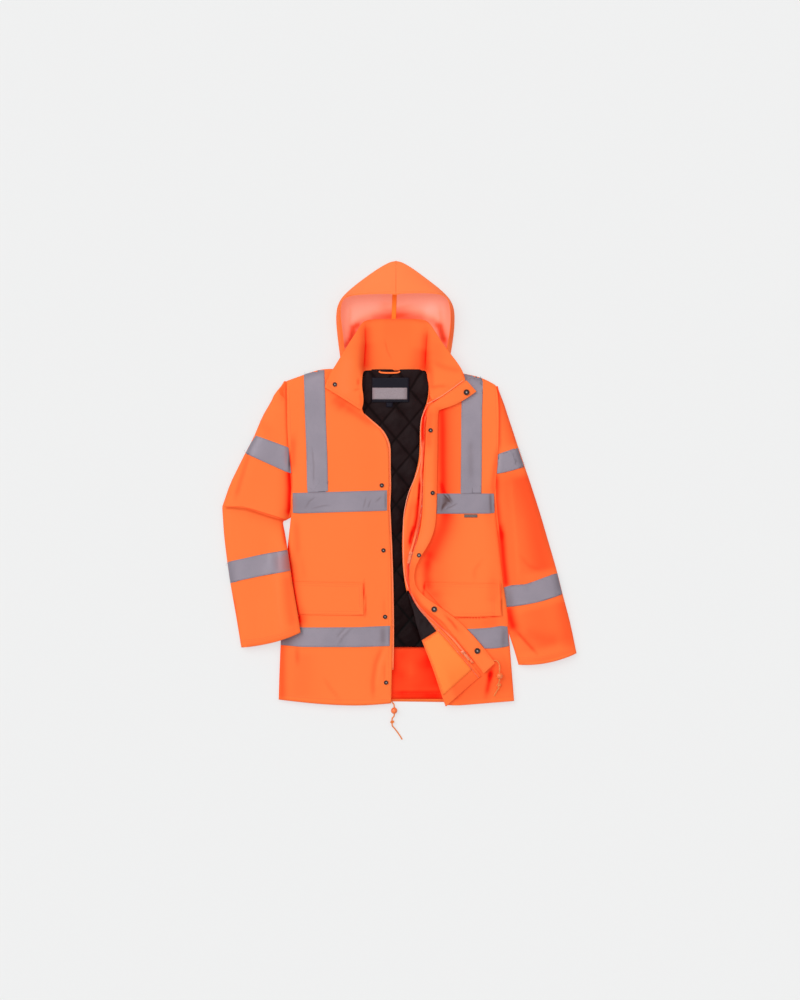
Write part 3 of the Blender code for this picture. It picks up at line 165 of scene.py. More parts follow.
class Finish:  # one material and the nodes in it
    def __init__(self, name, **shader):
        self.material = bpy.data.materials.new(name)
        self.material.use_nodes = True
        self.tree = self.material.node_tree
        self.shader = self.tree.nodes["Principled BSDF"]
        self.count = 0
        for words, value in shader.items():
            self.shader.inputs[words.replace("_", " ")].default_value = value

    def node(self, kind, settings=None, sockets=None, out=0):
        node = self.tree.nodes.new(kind)
        node.location = (-190 * (self.count % 9 + 1), -220 * (self.count // 9))  # nine in a row
        self.count += 1
        for key, value in (settings or {}).items():
            setattr(node, key, value)
        for key, value in (sockets or {}).items():
            if isinstance(value, Wire):
                self.tree.links.new(value.socket, node.inputs[key])
            else:
                node.inputs[key].default_value = value
        return Wire(self, node.outputs[out])

    def feed(self, socket, wire):
        self.tree.links.new(wire.socket, self.shader.inputs[socket])

    def where(self):
        return self.node("ShaderNodeTexCoord", out="Object")

    def axes(self, vector):
        split = self.node("ShaderNodeSeparateXYZ", sockets={0: vector})
        return [Wire(self, split.socket.node.outputs[k]) for k in range(3)]

    def attribute(self, name):
        return self.node("ShaderNodeAttribute", {"attribute_name": name}, out="Fac")

    def noise(self, vector, size, detail=2.0, rough=.5):  # size in metres
        sockets = {"Vector": vector, "Scale": 1 / size, "Detail": detail, "Roughness": rough}
        return self.node("ShaderNodeTexNoise", sockets=sockets)

    def mix(self, share, first, second):
        colours = [c if isinstance(c, Wire) else (*c, 1) for c in (first, second)]
        return self.node("ShaderNodeMix", {"data_type": "RGBA"}, {0: share, 6: colours[0], 7: colours[1]}, 2)

    def bump(self, height, distance, strength=1.0, under=None):
        sockets = {"Height": height, "Distance": distance, "Strength": strength}
        if under:
            sockets["Normal"] = under
        return self.node("ShaderNodeBump", sockets=sockets)

    def weave(self, vector, pitch):  # plain weave, 0 to 1
        x, y, _ = self.axes(vector)
        checks = (x * (math.pi / pitch)).wave() * (y * (math.pi / pitch)).wave()
        return abs(checks) ** .6 * .5 + (checks * .5 + .5) * .5


clothLook = {"cloud": .09, "mottle": .10, "dyed": .93, "pucker": .012, "puckerDeep": .0012, "puckered": .18}


# lit and shaded copies of the cloth's colour, with a deep and a pale one: painted light and shade, mixed by the
# painted shading
def clothFinish(name, lit, shaded, paintedGlow, deep=(.16, .006, .003), pale=(.95, .30, .12), rough=.62, pitch=.0011,
                grain=.00012, fade=1.0):  # fade: the painted shade from which the painted glow dies away
    finish = Finish(name, Sheen_Weight=.02, Sheen_Roughness=.5, Sheen_Tint=(*lit, 1), Emission_Strength=1.0,
                    Specular_IOR_Level=.05)
    spot = finish.where()
    cloud = finish.noise(spot, clothLook["cloud"], 3)
    threads = finish.weave(spot, pitch)
    dye = finish.mix(cloud.between() * clothLook["mottle"], lit, [c * clothLook["dyed"] for c in lit])
    paintedShading = finish.attribute("paintedShading")  # painted light and shade: below 0 paler, up to 1 more red, up to 2 nearly dark
    shadow = finish.mix((paintedShading - 1).held(), finish.mix(paintedShading.held(), dye, shaded), deep)
    finish.feed("Base Color", finish.mix((0 - paintedShading).held(), shadow, pale))
    # painted glow: a fixed emission in place of the cloth's fluorescence, keeping it bright and red where it lies in
    # painted shade
    finish.feed("Emission Color", finish.mix((paintedShading - fade).held(), paintedGlow, (0, 0, 0)))
    finish.feed("Roughness", threads * .06 + cloud * .08 + (rough - .06))
    pucker = finish.noise(spot, clothLook["pucker"])
    soften = finish.bump(pucker, clothLook["puckerDeep"], clothLook["puckered"])
    finish.feed("Normal", finish.bump(threads, grain, .6, soften))
    return finish


# tape colours: dark is the tape's painted shade, redder is what it turns to below 0
tapeLook = {"grey": (.272, .232, .276), "greyer": (.248, .214, .256), "bead": (.33, .29, .335),
            "dark": (.085, .042, .044), "redder": (.50, .125, .105), "beads": .0007, "patches": .05,
            "rib": .0012, "ribDeep": .00006, "wrinkle": .016, "wrinkleDeep": .0016}


def tapeColour(finish, spot, paintedShading):
    beads = finish.noise(spot, tapeLook["beads"], 1)
    patches = finish.noise(spot, tapeLook["patches"], 3)
    grey = finish.mix(patches.between(), tapeLook["grey"], tapeLook["greyer"])
    speckled = finish.mix(beads.between(.45, .75) * .25, grey, tapeLook["bead"])
    if not paintedShading:
        return speckled
    # painted shade: darker above 0; below 0 more red
    return finish.mix((0 - paintedShading).held(), finish.mix(paintedShading.held(), speckled, tapeLook["dark"]), tapeLook["redder"])


def tapeFinish(name):
    finish = Finish(name, Specular_IOR_Level=.5)
    spot = finish.where()
    x, y, _ = finish.axes(spot)
    finish.feed("Base Color", tapeColour(finish, spot, finish.attribute("paintedShading")))
    finish.feed("Metallic", finish.noise(spot, tapeLook["patches"], 3) * .1 + .22)
    finish.feed("Roughness", finish.noise(spot, tapeLook["beads"], 1) * .12 + .42)
    ribs = ((x + y) * (math.pi / tapeLook["rib"])).wave() * ((x - y) * (math.pi / tapeLook["rib"])).wave()
    wrinkle = finish.bump(finish.noise(spot, tapeLook["wrinkle"], 3), tapeLook["wrinkleDeep"], .22)
    finish.feed("Normal", finish.bump(ribs, tapeLook["ribDeep"], .5, wrinkle))
    return finish


hiddenTape = {"half": 25 * mm, "metal": .25, "smoother": .16}
hiddenBands = {  # tape sewn on the resting side: its middle line from and to
    "chest": ((-300, 482), (300, 482)), "hem": ((-300, 160), (300, 160)),
    "braceRight": ((-198, 507), (-202, 800)), "braceLeft": ((184, 507), (184, 800)),
    "upperRight": ((-380, 640), (-262, 592)), "lowerRight": ((-430, 305), (-262, 345)),
    "upperLeft": ((250, 585), (330, 600)), "lowerLeft": ((262, 258), (420, 292))}


def hiddenFinish(name):  # the shell with its tape bands, for the side that rests on the floor
    finish = Finish(name, Specular_IOR_Level=.2)
    spot = finish.where()
    x, y, _ = finish.axes(spot)
    mask = None
    for start, end in hiddenBands.values():
        (x0, y0), (x1, y1) = metres(*start), metres(*end)
        length = math.hypot(x1 - x0, y1 - y0)
        alongX, alongY = (x1 - x0) / length, (y1 - y0) / length
        aside = abs((x - x0) * alongY - (y - y0) * alongX)
        along = (x - x0) * alongX + (y - y0) * alongY
        band = (hiddenTape["half"] - aside).over(0.0) * along.over(0.0) * (length - along).over(0.0)
        mask = band if mask is None else mask.step("MAXIMUM", mask, band)
    threads = finish.weave(spot, .0011)
    cloud = finish.noise(spot, clothLook["cloud"], 3)
    dye = finish.mix(cloud.between() * .2, orangeLit, [c * .9 for c in orangeLit])
    finish.feed("Base Color", finish.mix(mask, dye, tapeColour(finish, spot, None)))
    finish.feed("Metallic", mask * hiddenTape["metal"])
    finish.feed("Roughness", 0.62 - mask * hiddenTape["smoother"] + threads * .04)
    finish.feed("Normal", finish.bump(threads * (1 - mask) + mask, .00014, .6))
    return finish


# the paler lining colour is a painted light; valley is the painted shade in the quilt's valleys and towards the hem
liningLook = {"black": (.0115, .0033, .0036), "blacker": (.0080, .0018, .0020), "wearAndPaintedLight": (.026, .017, .018),
              "valley": (.0012, .0002, .0002), "thread": .0007, "threadDeep": .00005, "cloud": .03,
              "pucker": .014, "puckerDeep": .003}


def liningFinish(name):
    finish = Finish(name, Specular_IOR_Level=.05)
    spot = finish.where()
    threads = finish.weave(spot, liningLook["thread"])
    cloud = finish.noise(spot, liningLook["cloud"], 3)
    # painted shading: below 0 paler, a painted light; above 0 darker, a painted shade
    valley = finish.attribute("paintedShading")
    cloth = finish.mix(cloud.between(.35), liningLook["black"], liningLook["blacker"])
    wearAndPaintedLight = finish.mix((0 - valley).held(), cloth, liningLook["wearAndPaintedLight"])
    finish.feed("Base Color", finish.mix(valley.held(), wearAndPaintedLight, liningLook["valley"]))
    finish.feed("Roughness", cloud * .16 + .40)
    pucker = finish.bump(finish.noise(spot, liningLook["pucker"], 3, .6), liningLook["puckerDeep"], .42)
    finish.feed("Normal", finish.bump(threads, liningLook["threadDeep"], .5, pucker))
    return finish


def plainFinish(name, colour, deep, rough, metal=0.0, size=.004, relief=.0001, coat=0.0, gloss=.5):
    finish = Finish(name, Coat_Roughness=.15, Specular_IOR_Level=gloss)
    finish.shader.inputs["Coat Weight"].default_value = coat
    finish.shader.inputs["Metallic"].default_value = metal
    spot = finish.where()
    wearAndPaintedLight = finish.noise(spot, size, 3)
    finish.feed("Base Color", finish.mix(wearAndPaintedLight.between(.35, .75), colour, deep))
    finish.feed("Roughness", wearAndPaintedLight * .18 + (rough - .09))
    finish.feed("Normal", finish.bump(wearAndPaintedLight, relief, .4))
    return finish


def cordFinish(name, colour, deep, strands=6):  # braid that follows the cord's own map
    finish = Finish(name, Sheen_Weight=.2, Sheen_Roughness=.5)
    u, v, _ = finish.axes(finish.node("ShaderNodeUVMap", {"uv_map": "UVMap"}))
    turns = strands * 2 * math.pi
    plait = ((u + v) * turns).wave() * ((u - v) * turns).wave() * .5 + .5
    finish.feed("Base Color", finish.mix(plait.between(.1, .9), deep, colour))
    finish.feed("Roughness", 0.78 - plait * .1)
    finish.feed("Normal", finish.bump(plait, .0003, .8))
    return finish


# the hi-vis orange lit, shaded and with its painted glow
orangeLit, orangeShaded, orangePaintedGlow = (.93, .192, .045), (.84, .008, .001), (.12, .001, .0)
looks = {
    "hiVis": clothFinish("hiVisPolyester", orangeLit, orangeShaded, orangePaintedGlow),
    # the cloth's edge walls and resting face: the orange painted darker and more red, a painted shade, with a stronger
    # painted glow
    "clothEdgeShaded": clothFinish("hiVisShadedEdge", (.90, .135, .028), (.84, .008, .001), (.16, .004, .0)),
    "underside": hiddenFinish("hiVisRestingSide"),
    "facing": clothFinish("facingCloth", (.95, .245, .05), (.85, .06, .008), (.12, .005, .0), pitch=.0009),
    # inside the hood: a strong painted glow that stays in its painted shade lifts the corners and brim out of their
    # shade; pale is a painted light
    "hoodInside": clothFinish("coatedInside", (.66, .222, .142), (.88, .105, .042), (.34, .105, .066), fade=0,
                              deep=(.42, .010, .006), pale=(.68, .45, .39), rough=.45, pitch=.0014, grain=.00006),
    "seamTape": clothFinish("seamSealingTape", (.93, .25, .03), (.9, .10, .015), (.1, .005, .0), rough=.35,
                            pitch=.0014, grain=.00004),
    "tape": tapeFinish("reflectiveTape"),
    "lining": liningFinish("quiltedLining"),
    "zipTape": clothFinish("zipTape", (.93, .23, .09), (.80, .010, .002), (.08, .002, .0), pitch=.0008, grain=.0001),
    "piping": clothFinish("pipingCloth", (.95, .31, .17), (.85, .06, .02), (.08, .01, .004), pitch=.0008,
                          grain=.0001),
    "zipTeeth": plainFinish("mouldedTeeth", (.95, .27, .15), (.85, .20, .10), .38, size=.003, coat=.2),
    "zipPull": plainFinish("lacqueredPull", (.93, .24, .09), (.80, .15, .05), .34, size=.004, coat=.4),
    "stud": plainFinish("gunmetalStud", (.050, .034, .032), (.022, .016, .015), .3, 1.0, .003, .00004),
    "studHeart": plainFinish("studSpring", (.42, .38, .38), (.22, .19, .19), .26, 1.0, .002, .00004),
    "label": plainFinish("labelSatin", (.0075, .006, .013), (.005, .004, .009), .5, size=.0016, relief=.00012,
                         gloss=.12),
    "labelPanel": plainFinish("labelPanel", (.33, .27, .29), (.26, .21, .23), .6, size=.002, relief=.00008, gloss=.2),
    "tabCloth": plainFinish("tabCloth", (.16, .115, .105), (.10, .075, .07), .6, size=.002, relief=.00008),
    "cord": cordFinish("braidedCord", (.93, .29, .055), (.78, .16, .02)),
    "bead": plainFinish("toggleNylon", (.93, .19, .04), (.85, .14, .025), .4, size=.006, coat=.25),
    "threadOrange": plainFinish("orangeThread", (.80, .085, .010), (.66, .055, .006), .6, size=.002),
    "threadGrey": plainFinish("greyThread", (.21, .17, .20), (.13, .11, .13), .6, size=.002),
    "threadBlack": plainFinish("blackThread", (.006, .005, .0055), (.012, .010, .011), .55, size=.002),
}
print("materials made:", len(looks))

floorLook = Finish("paperFloor", Roughness=.95, Specular_IOR_Level=.1, Emission_Strength=1.0,
                   Emission_Color=(*studio["floorGlow"], 1))
floorGrain = floorLook.noise(floorLook.where(), .4)
floorLook.feed("Base Color", floorLook.mix(floorGrain, studio["floor"], [c * 1.01 for c in studio["floor"]]))


# working pieces
def rest():  # nothing selected, object mode
    if bpy.context.object and bpy.context.object.mode != "OBJECT":
        bpy.ops.object.mode_set(mode="OBJECT")
    bpy.ops.object.select_all(action="DESELECT")


def pick(piece):
    rest()
    bpy.context.view_layer.objects.active = piece
    piece.select_set(True)
    return piece


def chooseFaces(piece, test):  # into edit mode with just the faces that pass
    pick(piece)
    bpy.context.tool_settings.mesh_select_mode = (False, False, True)
    for part in (piece.data.vertices, piece.data.edges):
        part.foreach_set("select", np.zeros(len(part), bool))
    for face in piece.data.polygons:
        face.select = bool(test(face))
    bpy.ops.object.mode_set(mode="EDIT")


def finishModifiers(piece):
    pick(piece)
    for modifier in list(piece.modifiers):
        bpy.ops.object.modifier_apply(modifier=modifier.name)
    return piece


def shade(piece, angle=50):
    pick(piece)
    bpy.ops.object.shade_smooth_by_angle(angle=math.radians(angle))
    return piece


def dress(piece, *finishes):
    for finish in finishes:
        piece.data.materials.append(looks[finish].material)
    return piece


def discard(piece):
    mesh = piece.data
    bpy.data.objects.remove(piece)
    bpy.data.meshes.remove(mesh)


def pointsOf(mesh):
    flat = np.empty(len(mesh.vertices) * 3)
    mesh.vertices.foreach_get("co", flat)
    return flat.reshape(-1, 3)


def setPoints(mesh, points):
    mesh.vertices.foreach_set("co", np.ascontiguousarray(points, float).ravel())
    mesh.update()


def newPiece(name, points, faces, *finishes):
    mesh = bpy.data.meshes.new(name)
    mesh.from_pydata([tuple(p) for p in points], [], [tuple(f) for f in faces])
    piece = bpy.data.objects.new(name, mesh)
    bpy.context.collection.objects.link(piece)
    return dress(piece, *finishes)


def treeOf(mesh):
    return BVHTree.FromPolygons([v.co for v in mesh.vertices], [tuple(p.vertices) for p in mesh.polygons])


def drop(tree, x, y, above=.3, level=.04):  # highest point of a surface at x, y, with its normal
    spot, normal, _, _ = tree.ray_cast(Vector((x, y, above)), Vector((0, 0, -1)))
    if spot is None:
        spot, normal, _, _ = tree.find_nearest(Vector((x, y, level)))
        spot = Vector((x, y, spot.z))
    return spot, normal if normal.z > 0 else -normal


def declareSheet(size, held, under):  # width, length and, where it isn't a rectangle, area
    width, length, *area = size
    if width >= .01:  # a narrower strip is only trim
        area[0] if area else None
        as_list(under)


def settle(piece, slot, node=None, body="jacket"):
    if node:
        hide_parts(node)
    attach(piece, body)
    return piece


def bevelEdges(piece, width, segments=2, angle=None):
    bevel = piece.modifiers.new("edge", "BEVEL")
    bevel.width, bevel.segments = width * mm, segments
    if angle:
        bevel.limit_method, bevel.angle_limit = "ANGLE", math.radians(angle)
    return finishModifiers(piece)


def turnOutwards(piece):  # normals of a closed shape made to point out
    pick(piece)
    bpy.ops.object.mode_set(mode="EDIT")
    bpy.ops.mesh.select_all(action="SELECT")
    bpy.ops.mesh.normals_make_consistent(inside=False)
    bpy.ops.object.mode_set(mode="OBJECT")


def layerOf(piece, name):
    values = np.empty(len(piece.data.vertices))
    piece.data.attributes[name].data.foreach_get("value", values)
    return values


# the frame's walls, welded, back in quads, with slot 0 for the lower face, 1 for the edge and 2 for the upper
weld = {"gap": 2e-6, "flat": 50, "square": 70, "edge": 48}


def splitWall(node, name):
    mesh = nodes[node].data.copy()
    mesh.materials.clear()
    piece = bpy.data.objects.new(name, mesh)
    bpy.context.collection.objects.link(piece)
    work = bmesh.new()
    work.from_mesh(mesh)
    bmesh.ops.remove_doubles(work, verts=work.verts, dist=weld["gap"])
    bmesh.ops.join_triangles(work, faces=work.faces[:], angle_face_threshold=math.radians(weld["flat"]),
                             angle_shape_threshold=math.radians(weld["square"]))
    crease = work.edges.layers.float.new("crease_edge")
    upper = work.verts.layers.float.new("upper")
    limit = math.radians(weld["edge"])
    for edge in work.edges:
        edge[crease] = 1.0 if edge.calc_face_angle(0) > limit else 0.0
    islands, seen = [], set()
    for start in work.faces:
        if start in seen:
            continue
        island, waiting = [], [start]
        seen.add(start)
        while waiting:
            face = waiting.pop()
            island.append(face)
            for edge in face.edges:
                for other in edge.link_faces:
                    if other not in seen and edge[crease] < .5:
                        seen.add(other)
                        waiting.append(other)
        islands.append(island)
    islands.sort(key=lambda faces: -sum(f.calc_area() for f in faces))
    walls = sorted(islands[:2], key=lambda faces: sum(f.normal.z * f.calc_area() for f in faces))
    for slot, faces in ((1, work.faces), (0, walls[0]), (2, walls[1])):
        for face in faces:
            face.material_index = slot
    for face in walls[1]:
        for vert in face.verts:
            vert[upper] = 1.0
    work.to_mesh(mesh)
    work.free()
    return piece


def subdivide(piece, levels, kind="CATMULL_CLARK"):
    modifier = piece.modifiers.new("smooth", "SUBSURF")
    modifier.subdivision_type = kind
    modifier.levels = modifier.render_levels = levels
    modifier.use_limit_surface = False
    modifier.boundary_smooth = "PRESERVE_CORNERS"
    return finishModifiers(piece)


def dropLayers(piece):  # the working layers of splitWall
    for name in ("crease_edge", "upper"):
        layer = piece.data.attributes.get(name)
        if layer:
            piece.data.attributes.remove(layer)


# folds and painted shade: half width and height in millimetres, how much painted shade the cloth gets (below 0 paler,
# a painted light, above 1 dark), side 1 for only the right hand of the route, -1 for only its left, and the route; a
# row with no height paints only shade, such as a shadow cast by a flap or a sleeve's edge
foldHead = ("half", "high", "red", "side", "route")
bodyFoldsAndShade = [foldHead,
    (15.8, 0, .4, 0, ((-153, 744), (-122, 712))), (9.7, 0, .34, 0, ((-126, 722), (-87, 695), (-53, 673))),
    (4.9, 0, .3, 0, ((-44, 671), (-24, 654), (-15, 622))),
    (3.2, 0, .9, -1, ((-261, 617), (-256, 564), (-254, 515))),
    (7.8, -1, .32, 0, ((-248, 646), (-250, 598), (-250, 564))), (8.5, 0, .2, 0, ((-243, 442), (-238, 355))),
    (7.3, 0, .1, 0, ((-231, 355), (-221, 296))), (10.9, -1.2, .45, 0, ((-278, 151), (-278, 0))),
    (5.8, .8, .25, 0, ((-241, 136), (-239, 92))), (36.5, 0, .13, 0, ((-228, 126), (-233, 5))),
    (3.9, .8, .15, 0, ((-175, 58), (-160, 34), (-136, 5))),
    (5.8, -1.6, .3, 0, ((-34, 134), (-50, 92), (-56, 49), (-55, 12))),
    (3.9, 1, -.1, 0, ((-24, 126), (-40, 87), (-44, 44))), (2.9, -.8, .22, 0, ((-28, 97), (-29, 68), (-27, 51))),
    (3.9, -.6, .12, 0, ((-29, 253), (-28, 204))),
    (3.9, 0, 1.5, -1, ((-266, 394), (-258, 330), (-249, 267), (-239, 211), (-234, 185))),
    (14.6, 0, .36, -1, ((-260, 345), (-248, 258), (-236, 182))),
    (10.2, -.8, .46, 0, ((109, 748), (112, 661), (112, 588), (114, 471))),
    (21.9, 0, .48, 0, ((117, 753), (119, 612), (119, 467))), (19.4, 0, .16, 0, ((151, 724), (151, 501))),
    (3.6, 1, .3, 0, ((107, 535), (114, 515), (124, 498))),
    (21.9, -1.5, .55, 0, ((126, 476), (112, 423), (90, 374), (75, 340))),
    (34, 0, .22, 0, ((136, 467), (122, 418), (97, 355), (92, 248))),
    (12.2, -1.2, .52, 0, ((78, 355), (74, 309), (78, 267))), (2.2, 0, .6, 0, ((69, 292), (66, 255))),
    (17, 0, .3, 0, ((85, 272), (112, 219))),
    (7.3, -1.4, .38, 0, ((250, 617), (241, 569), (236, 525), (241, 491))),
    (9.7, 0, .12, 0, ((221, 530), (226, 442))), (4.9, .6, .12, 0, ((209, 345), (190, 321), (190, 296))),
    (14.6, 0, .16, 0, ((236, 309), (233, 233))), (19.4, 0, .12, 0, ((253, 204), (204, 185))),
    (2.7, 0, .8, 1, ((136, 208), (199, 207), (253, 210))),
    (2.7, 0, .6, -1, ((252, 296), (253, 248), (254, 211))),
    (17, 0, .14, 0, ((143, 194), (204, 192), (253, 194))),
    (2.7, 0, .7, 1, ((-238, 210), (-160, 208), (-73, 213))),
    (2.7, 0, .9, -1, ((-80, 294), (-78, 253), (-74, 211))), (12.2, 0, .3, 0, ((-231, 219), (-226, 185))),
    (4.4, 0, .4, -1, ((-77, 258), (-76, 245))), (58.3, 0, .34, 0, ((131, 19), (289, 73))),
    (6.3, -1.6, .55, 0, ((236, 87), (228, 58), (219, 12))), (6.3, 0, .55, 0, ((228, 75), (228, 56))),
    (4.4, 1.2, -.12, 0, ((248, 73), (243, 29), (236, 0)))]
sleeveFoldsAndShade = [foldHead,
    (6.5, -3.0, .1, 0, ((-264, 775), (-264, 700), (-262.5, 660), (-259.5, 620), (-256, 580), (-252.5, 540),
                       (-251.5, 505))),
    (6.5, -2.6, .1, 0, ((243, 770), (247.5, 740), (248.5, 700), (248.3, 660), (247.5, 620), (245.5, 580), (242, 540),
                       (240, 505))),
    (2.9, -.7, .36, 0, ((-267, 775), (-266, 722), (-263, 656), (-262, 612))),
    (8.5, 0, .22, 0, ((-273, 768), (-277, 729))), (12.2, 0, .1, 0, ((-326, 685), (-306, 646))),
    (6.3, -1.4, .24, 0, ((-355, 608), (-372, 554), (-389, 496))),
    (5.3, 0, .16, 0, ((-379, 622), (-406, 549), (-420, 491))),
    (11.7, 0, 1, 1, ((-257, 573), (-254, 520), (-256, 471), (-262, 445))),
    (3.9, 0, .8, 0, ((-261, 598), (-260, 564))), (21.9, 0, .2, 1, ((-258, 573), (-258, 452))),
    (3.4, -.8, .34, 1, ((-423, 477), (-396, 475), (-372, 476))),
    (4.4, -1, .5, 1, ((-374, 476), (-345, 468), (-316, 459), (-287, 450), (-265, 442))),
    (19.4, 0, .14, 1, ((-364, 469), (-316, 454), (-272, 440))),
    (4.9, 0, .6, 0, ((-277, 440), (-271, 403), (-265, 374))),
    (13.4, 0, .25, 0, ((-265, 311), (-260, 248), (-250, 180))),
    (8.5, 1.2, -.05, 0, ((-292, 316), (-284, 248), (-275, 170))), (5.3, 0, .2, 0, ((-396, 258), (-384, 156))),
    (6.1, 0, .2, -1, ((-374, 134), (-326, 141), (-282, 153), (-233, 170))),
    (29.2, 0, .42, 0, ((260, 763), (282, 685), (299, 622))),
    (4.9, 0, .3, 0, ((248, 773), (250, 685), (252, 612))),
    (8.3, 0, .6, -1, ((243, 554), (243, 491), (248, 442), (253, 403))),
    (8.7, -1.6, .78, 0, ((255, 423), (261, 345), (269, 272))),
    (41.3, -1, .55, 0, ((311, 559), (338, 442), (362, 311))),
    (34, 0, .2, 0, ((265, 564), (272, 394), (287, 272))),
    (7.3, 1.6, -.08, 0, ((279, 539), (289, 418), (299, 296))),
    (4.9, -1.2, .12, 0, ((301, 355), (323, 330), (350, 321))), (21.9, 0, .34, 0, ((403, 253), (428, 126))),
    (63.2, 0, .3, 0, ((338, 236), (369, 126))), (12.2, -1.8, .85, 0, ((272, 238), (279, 199), (289, 168))),
    (3.6, -1.8, .45, 0, ((292, 173), (316, 146), (343, 117))),
    (5.8, 1.8, 0, 0, ((304, 177), (328, 153), (357, 124))),
    (17, 0, .16, 0, ((306, 170), (362, 151), (399, 151))),
    (6.1, 0, .15, -1, ((299, 92), (362, 102), (440, 122)))]
flapFoldsAndShade = [foldHead,
    (9.7, 0, .3, 0, ((83, 714), (80, 661), (78, 612))), (7.3, 0, .26, 0, ((100, 714), (98, 564), (97, 491))),
    (4.9, 0, .12, 0, ((68, 564), (67, 442))), (12.2, 0, -.1, 0, ((80, 544), (78, 418), (53, 369))),
    (9.7, 0, .2, 0, ((44, 345), (36, 296), (51, 258))), (5.3, 0, .35, 0, ((36, 272), (63, 233), (97, 204))),
    (3.2, -.9, .42, 0, ((119, 211), (136, 194), (151, 173))),
    (2.4, -.6, .35, 0, ((87, 214), (107, 199), (124, 182))), (12.2, 0, .12, 0, ((107, 233), (170, 165))),
    (7.3, .9, -.08, 0, ((131, 219), (180, 160), (219, 122))), (7.3, 0, .12, 0, ((190, 151), (238, 102)))]
edgeFoldsAndShade = [foldHead,
    (4.9, 0, 1.05, 0, ((74, 722), (67, 695), (65, 661), (66, 622))),
    (2.9, 0, .85, 0, ((67, 622), (67, 583), (63, 544))), (3.4, -.8, 1.35, 0, ((58, 542), (56, 510), (54, 481))),
    (6.8, -1.2, .95, 0, ((54, 491), (51, 452), (43, 408))),
    (4.9, 0, 1.15, 0, ((41, 423), (35, 394), (33, 377))),
    (2.2, 0, .8, 0, ((66, 539), (65, 479), (61, 435), (49, 394), (39, 357))),
    (2.9, 0, .8, 0, ((39, 362), (29, 330), (28, 296), (33, 267), (46, 238))),
    (2.9, 0, .5, 0, ((46, 238), (68, 221), (90, 202), (122, 170))),
    (6.3, 0, .22, 0, ((41, 491), (32, 442), (26, 382), (24, 330))),
    (3.2, 0, -.2, -1, ((78, 727), (62, 700), (57, 671), (58, 627)))]
collarFoldsAndShade = [foldHead,
    (12.2, 0, .45, 0, ((-73, 919), (-73, 868), (-75, 802))), (21.9, 0, .25, 0, ((-73, 880), (-68, 802))),
    (3.6, -1, .35, -1, ((-76, 914), (-75, 868), (-79, 809))),
    (9.7, 0, .4, 0, ((73, 904), (70, 855), (68, 797))), (24.3, 0, .36, 0, ((68, 865), (56, 797))),
    (3.4, -1, .35, 1, ((77, 899), (74, 855), (72, 812))),
    (6.1, 0, .3, 1, ((-83, 926), (-39, 931), (34, 931), (83, 923))), (48.6, 0, .1, 0, ((-39, 916), (46, 916))),
    (2.4, -.5, .16, 0, ((-27, 880), (-21, 853), (-10, 831))), (3.9, -1.2, .4, 0, ((-91, 785), (-92, 768))),
    (3.4, -.8, .22, 0, ((-102, 756), (-87, 761))), (3.9, 0, .25, 0, ((-87, 753), (-84, 729), (-87, 712))),
    (19.4, 0, -.14, 0, ((-114, 841), (-129, 770), (-112, 744))), (17, 0, .12, 0, ((97, 880), (107, 819))),
    (7.3, -1, .26, 0, ((80, 821), (85, 792), (85, 753))),
    (4.9, .8, .22, 0, ((83, 763), (102, 767), (124, 768))),
    (7.3, 0, .18, 0, ((87, 826), (119, 812), (160, 802))), (3.2, -.6, .35, 0, ((163, 799), (168, 785))),
    (2.9, -.7, .45, 0, ((92, 733), (122, 737), (151, 738))),
    (3.4, 0, .9, 0, ((75, 722), (87, 729), (102, 734))), (21.9, 0, .1, 0, ((136, 753), (185, 753)))]
hoodFoldsAndShade = [foldHead,
    (2.4, -.5, .3, 0, ((-131, 982), (-97, 986), (-10, 987), (83, 989), (124, 983))),
    (3.9, 0, .18, 0, ((-139, 972), (-135, 933), (-131, 880), (-128, 850))),
    (5.8, 0, .34, 0, ((135, 967), (136, 928), (131, 868))),
    (145.8, 0, -.3, 0, ((-124, 1011), (-2, 1040), (119, 1006)))]
hoodInsideShade = [foldHead,
    (145.8, 0, -.38, 0, ((-124, 933), (-2, 962), (124, 933))), (34, 0, .55, 0, ((5, 967), (12, 933))),
    (12.2, 0, .5, 0, ((-83, 926), (-39, 938), (58, 938), (92, 921))),
    (19.4, 0, .62, 0, ((-68, 928), (-2, 933), (78, 928))), (14.6, 0, .3, 0, ((-24, 977), (-29, 948))),
    (8.5, 0, 1.5, 0, ((-82, 926), (-104, 911), (-108, 886), (-114, 868))),
    (6.0, 0, .6, 0, ((-88, 912), (-100, 892))), (8.7, 0, 1.5, 0, ((92, 927), (106, 913), (114, 888), (122, 868))),
    (6.3, 0, .7, 0, ((-117, 880), (-126, 860))),
    (14.6, 0, -.25, 0, ((68, 943), (97, 974))), (4.9, 0, .35, 0, ((107, 962), (112, 904))),
    (3.6, 0, .3, 0, ((-111, 967), (-113, 914)))]
hemFoldsAndShade = [foldHead,
    (486, 0, .72, 0, ((-39, 66), (253, 66))), (34, 0, .18, 0, ((87, 122), (107, 29))),
    (9.7, 0, .14, 0, ((2, 126), (5, 29))), (7.3, 0, .22, 0, ((-10, 10), (114, 10))),
    (3.2, -.4, .25, 0, ((-10, 22), (114, 19))), (12.2, 0, -.12, 0, ((29, 102), (34, 29)))]
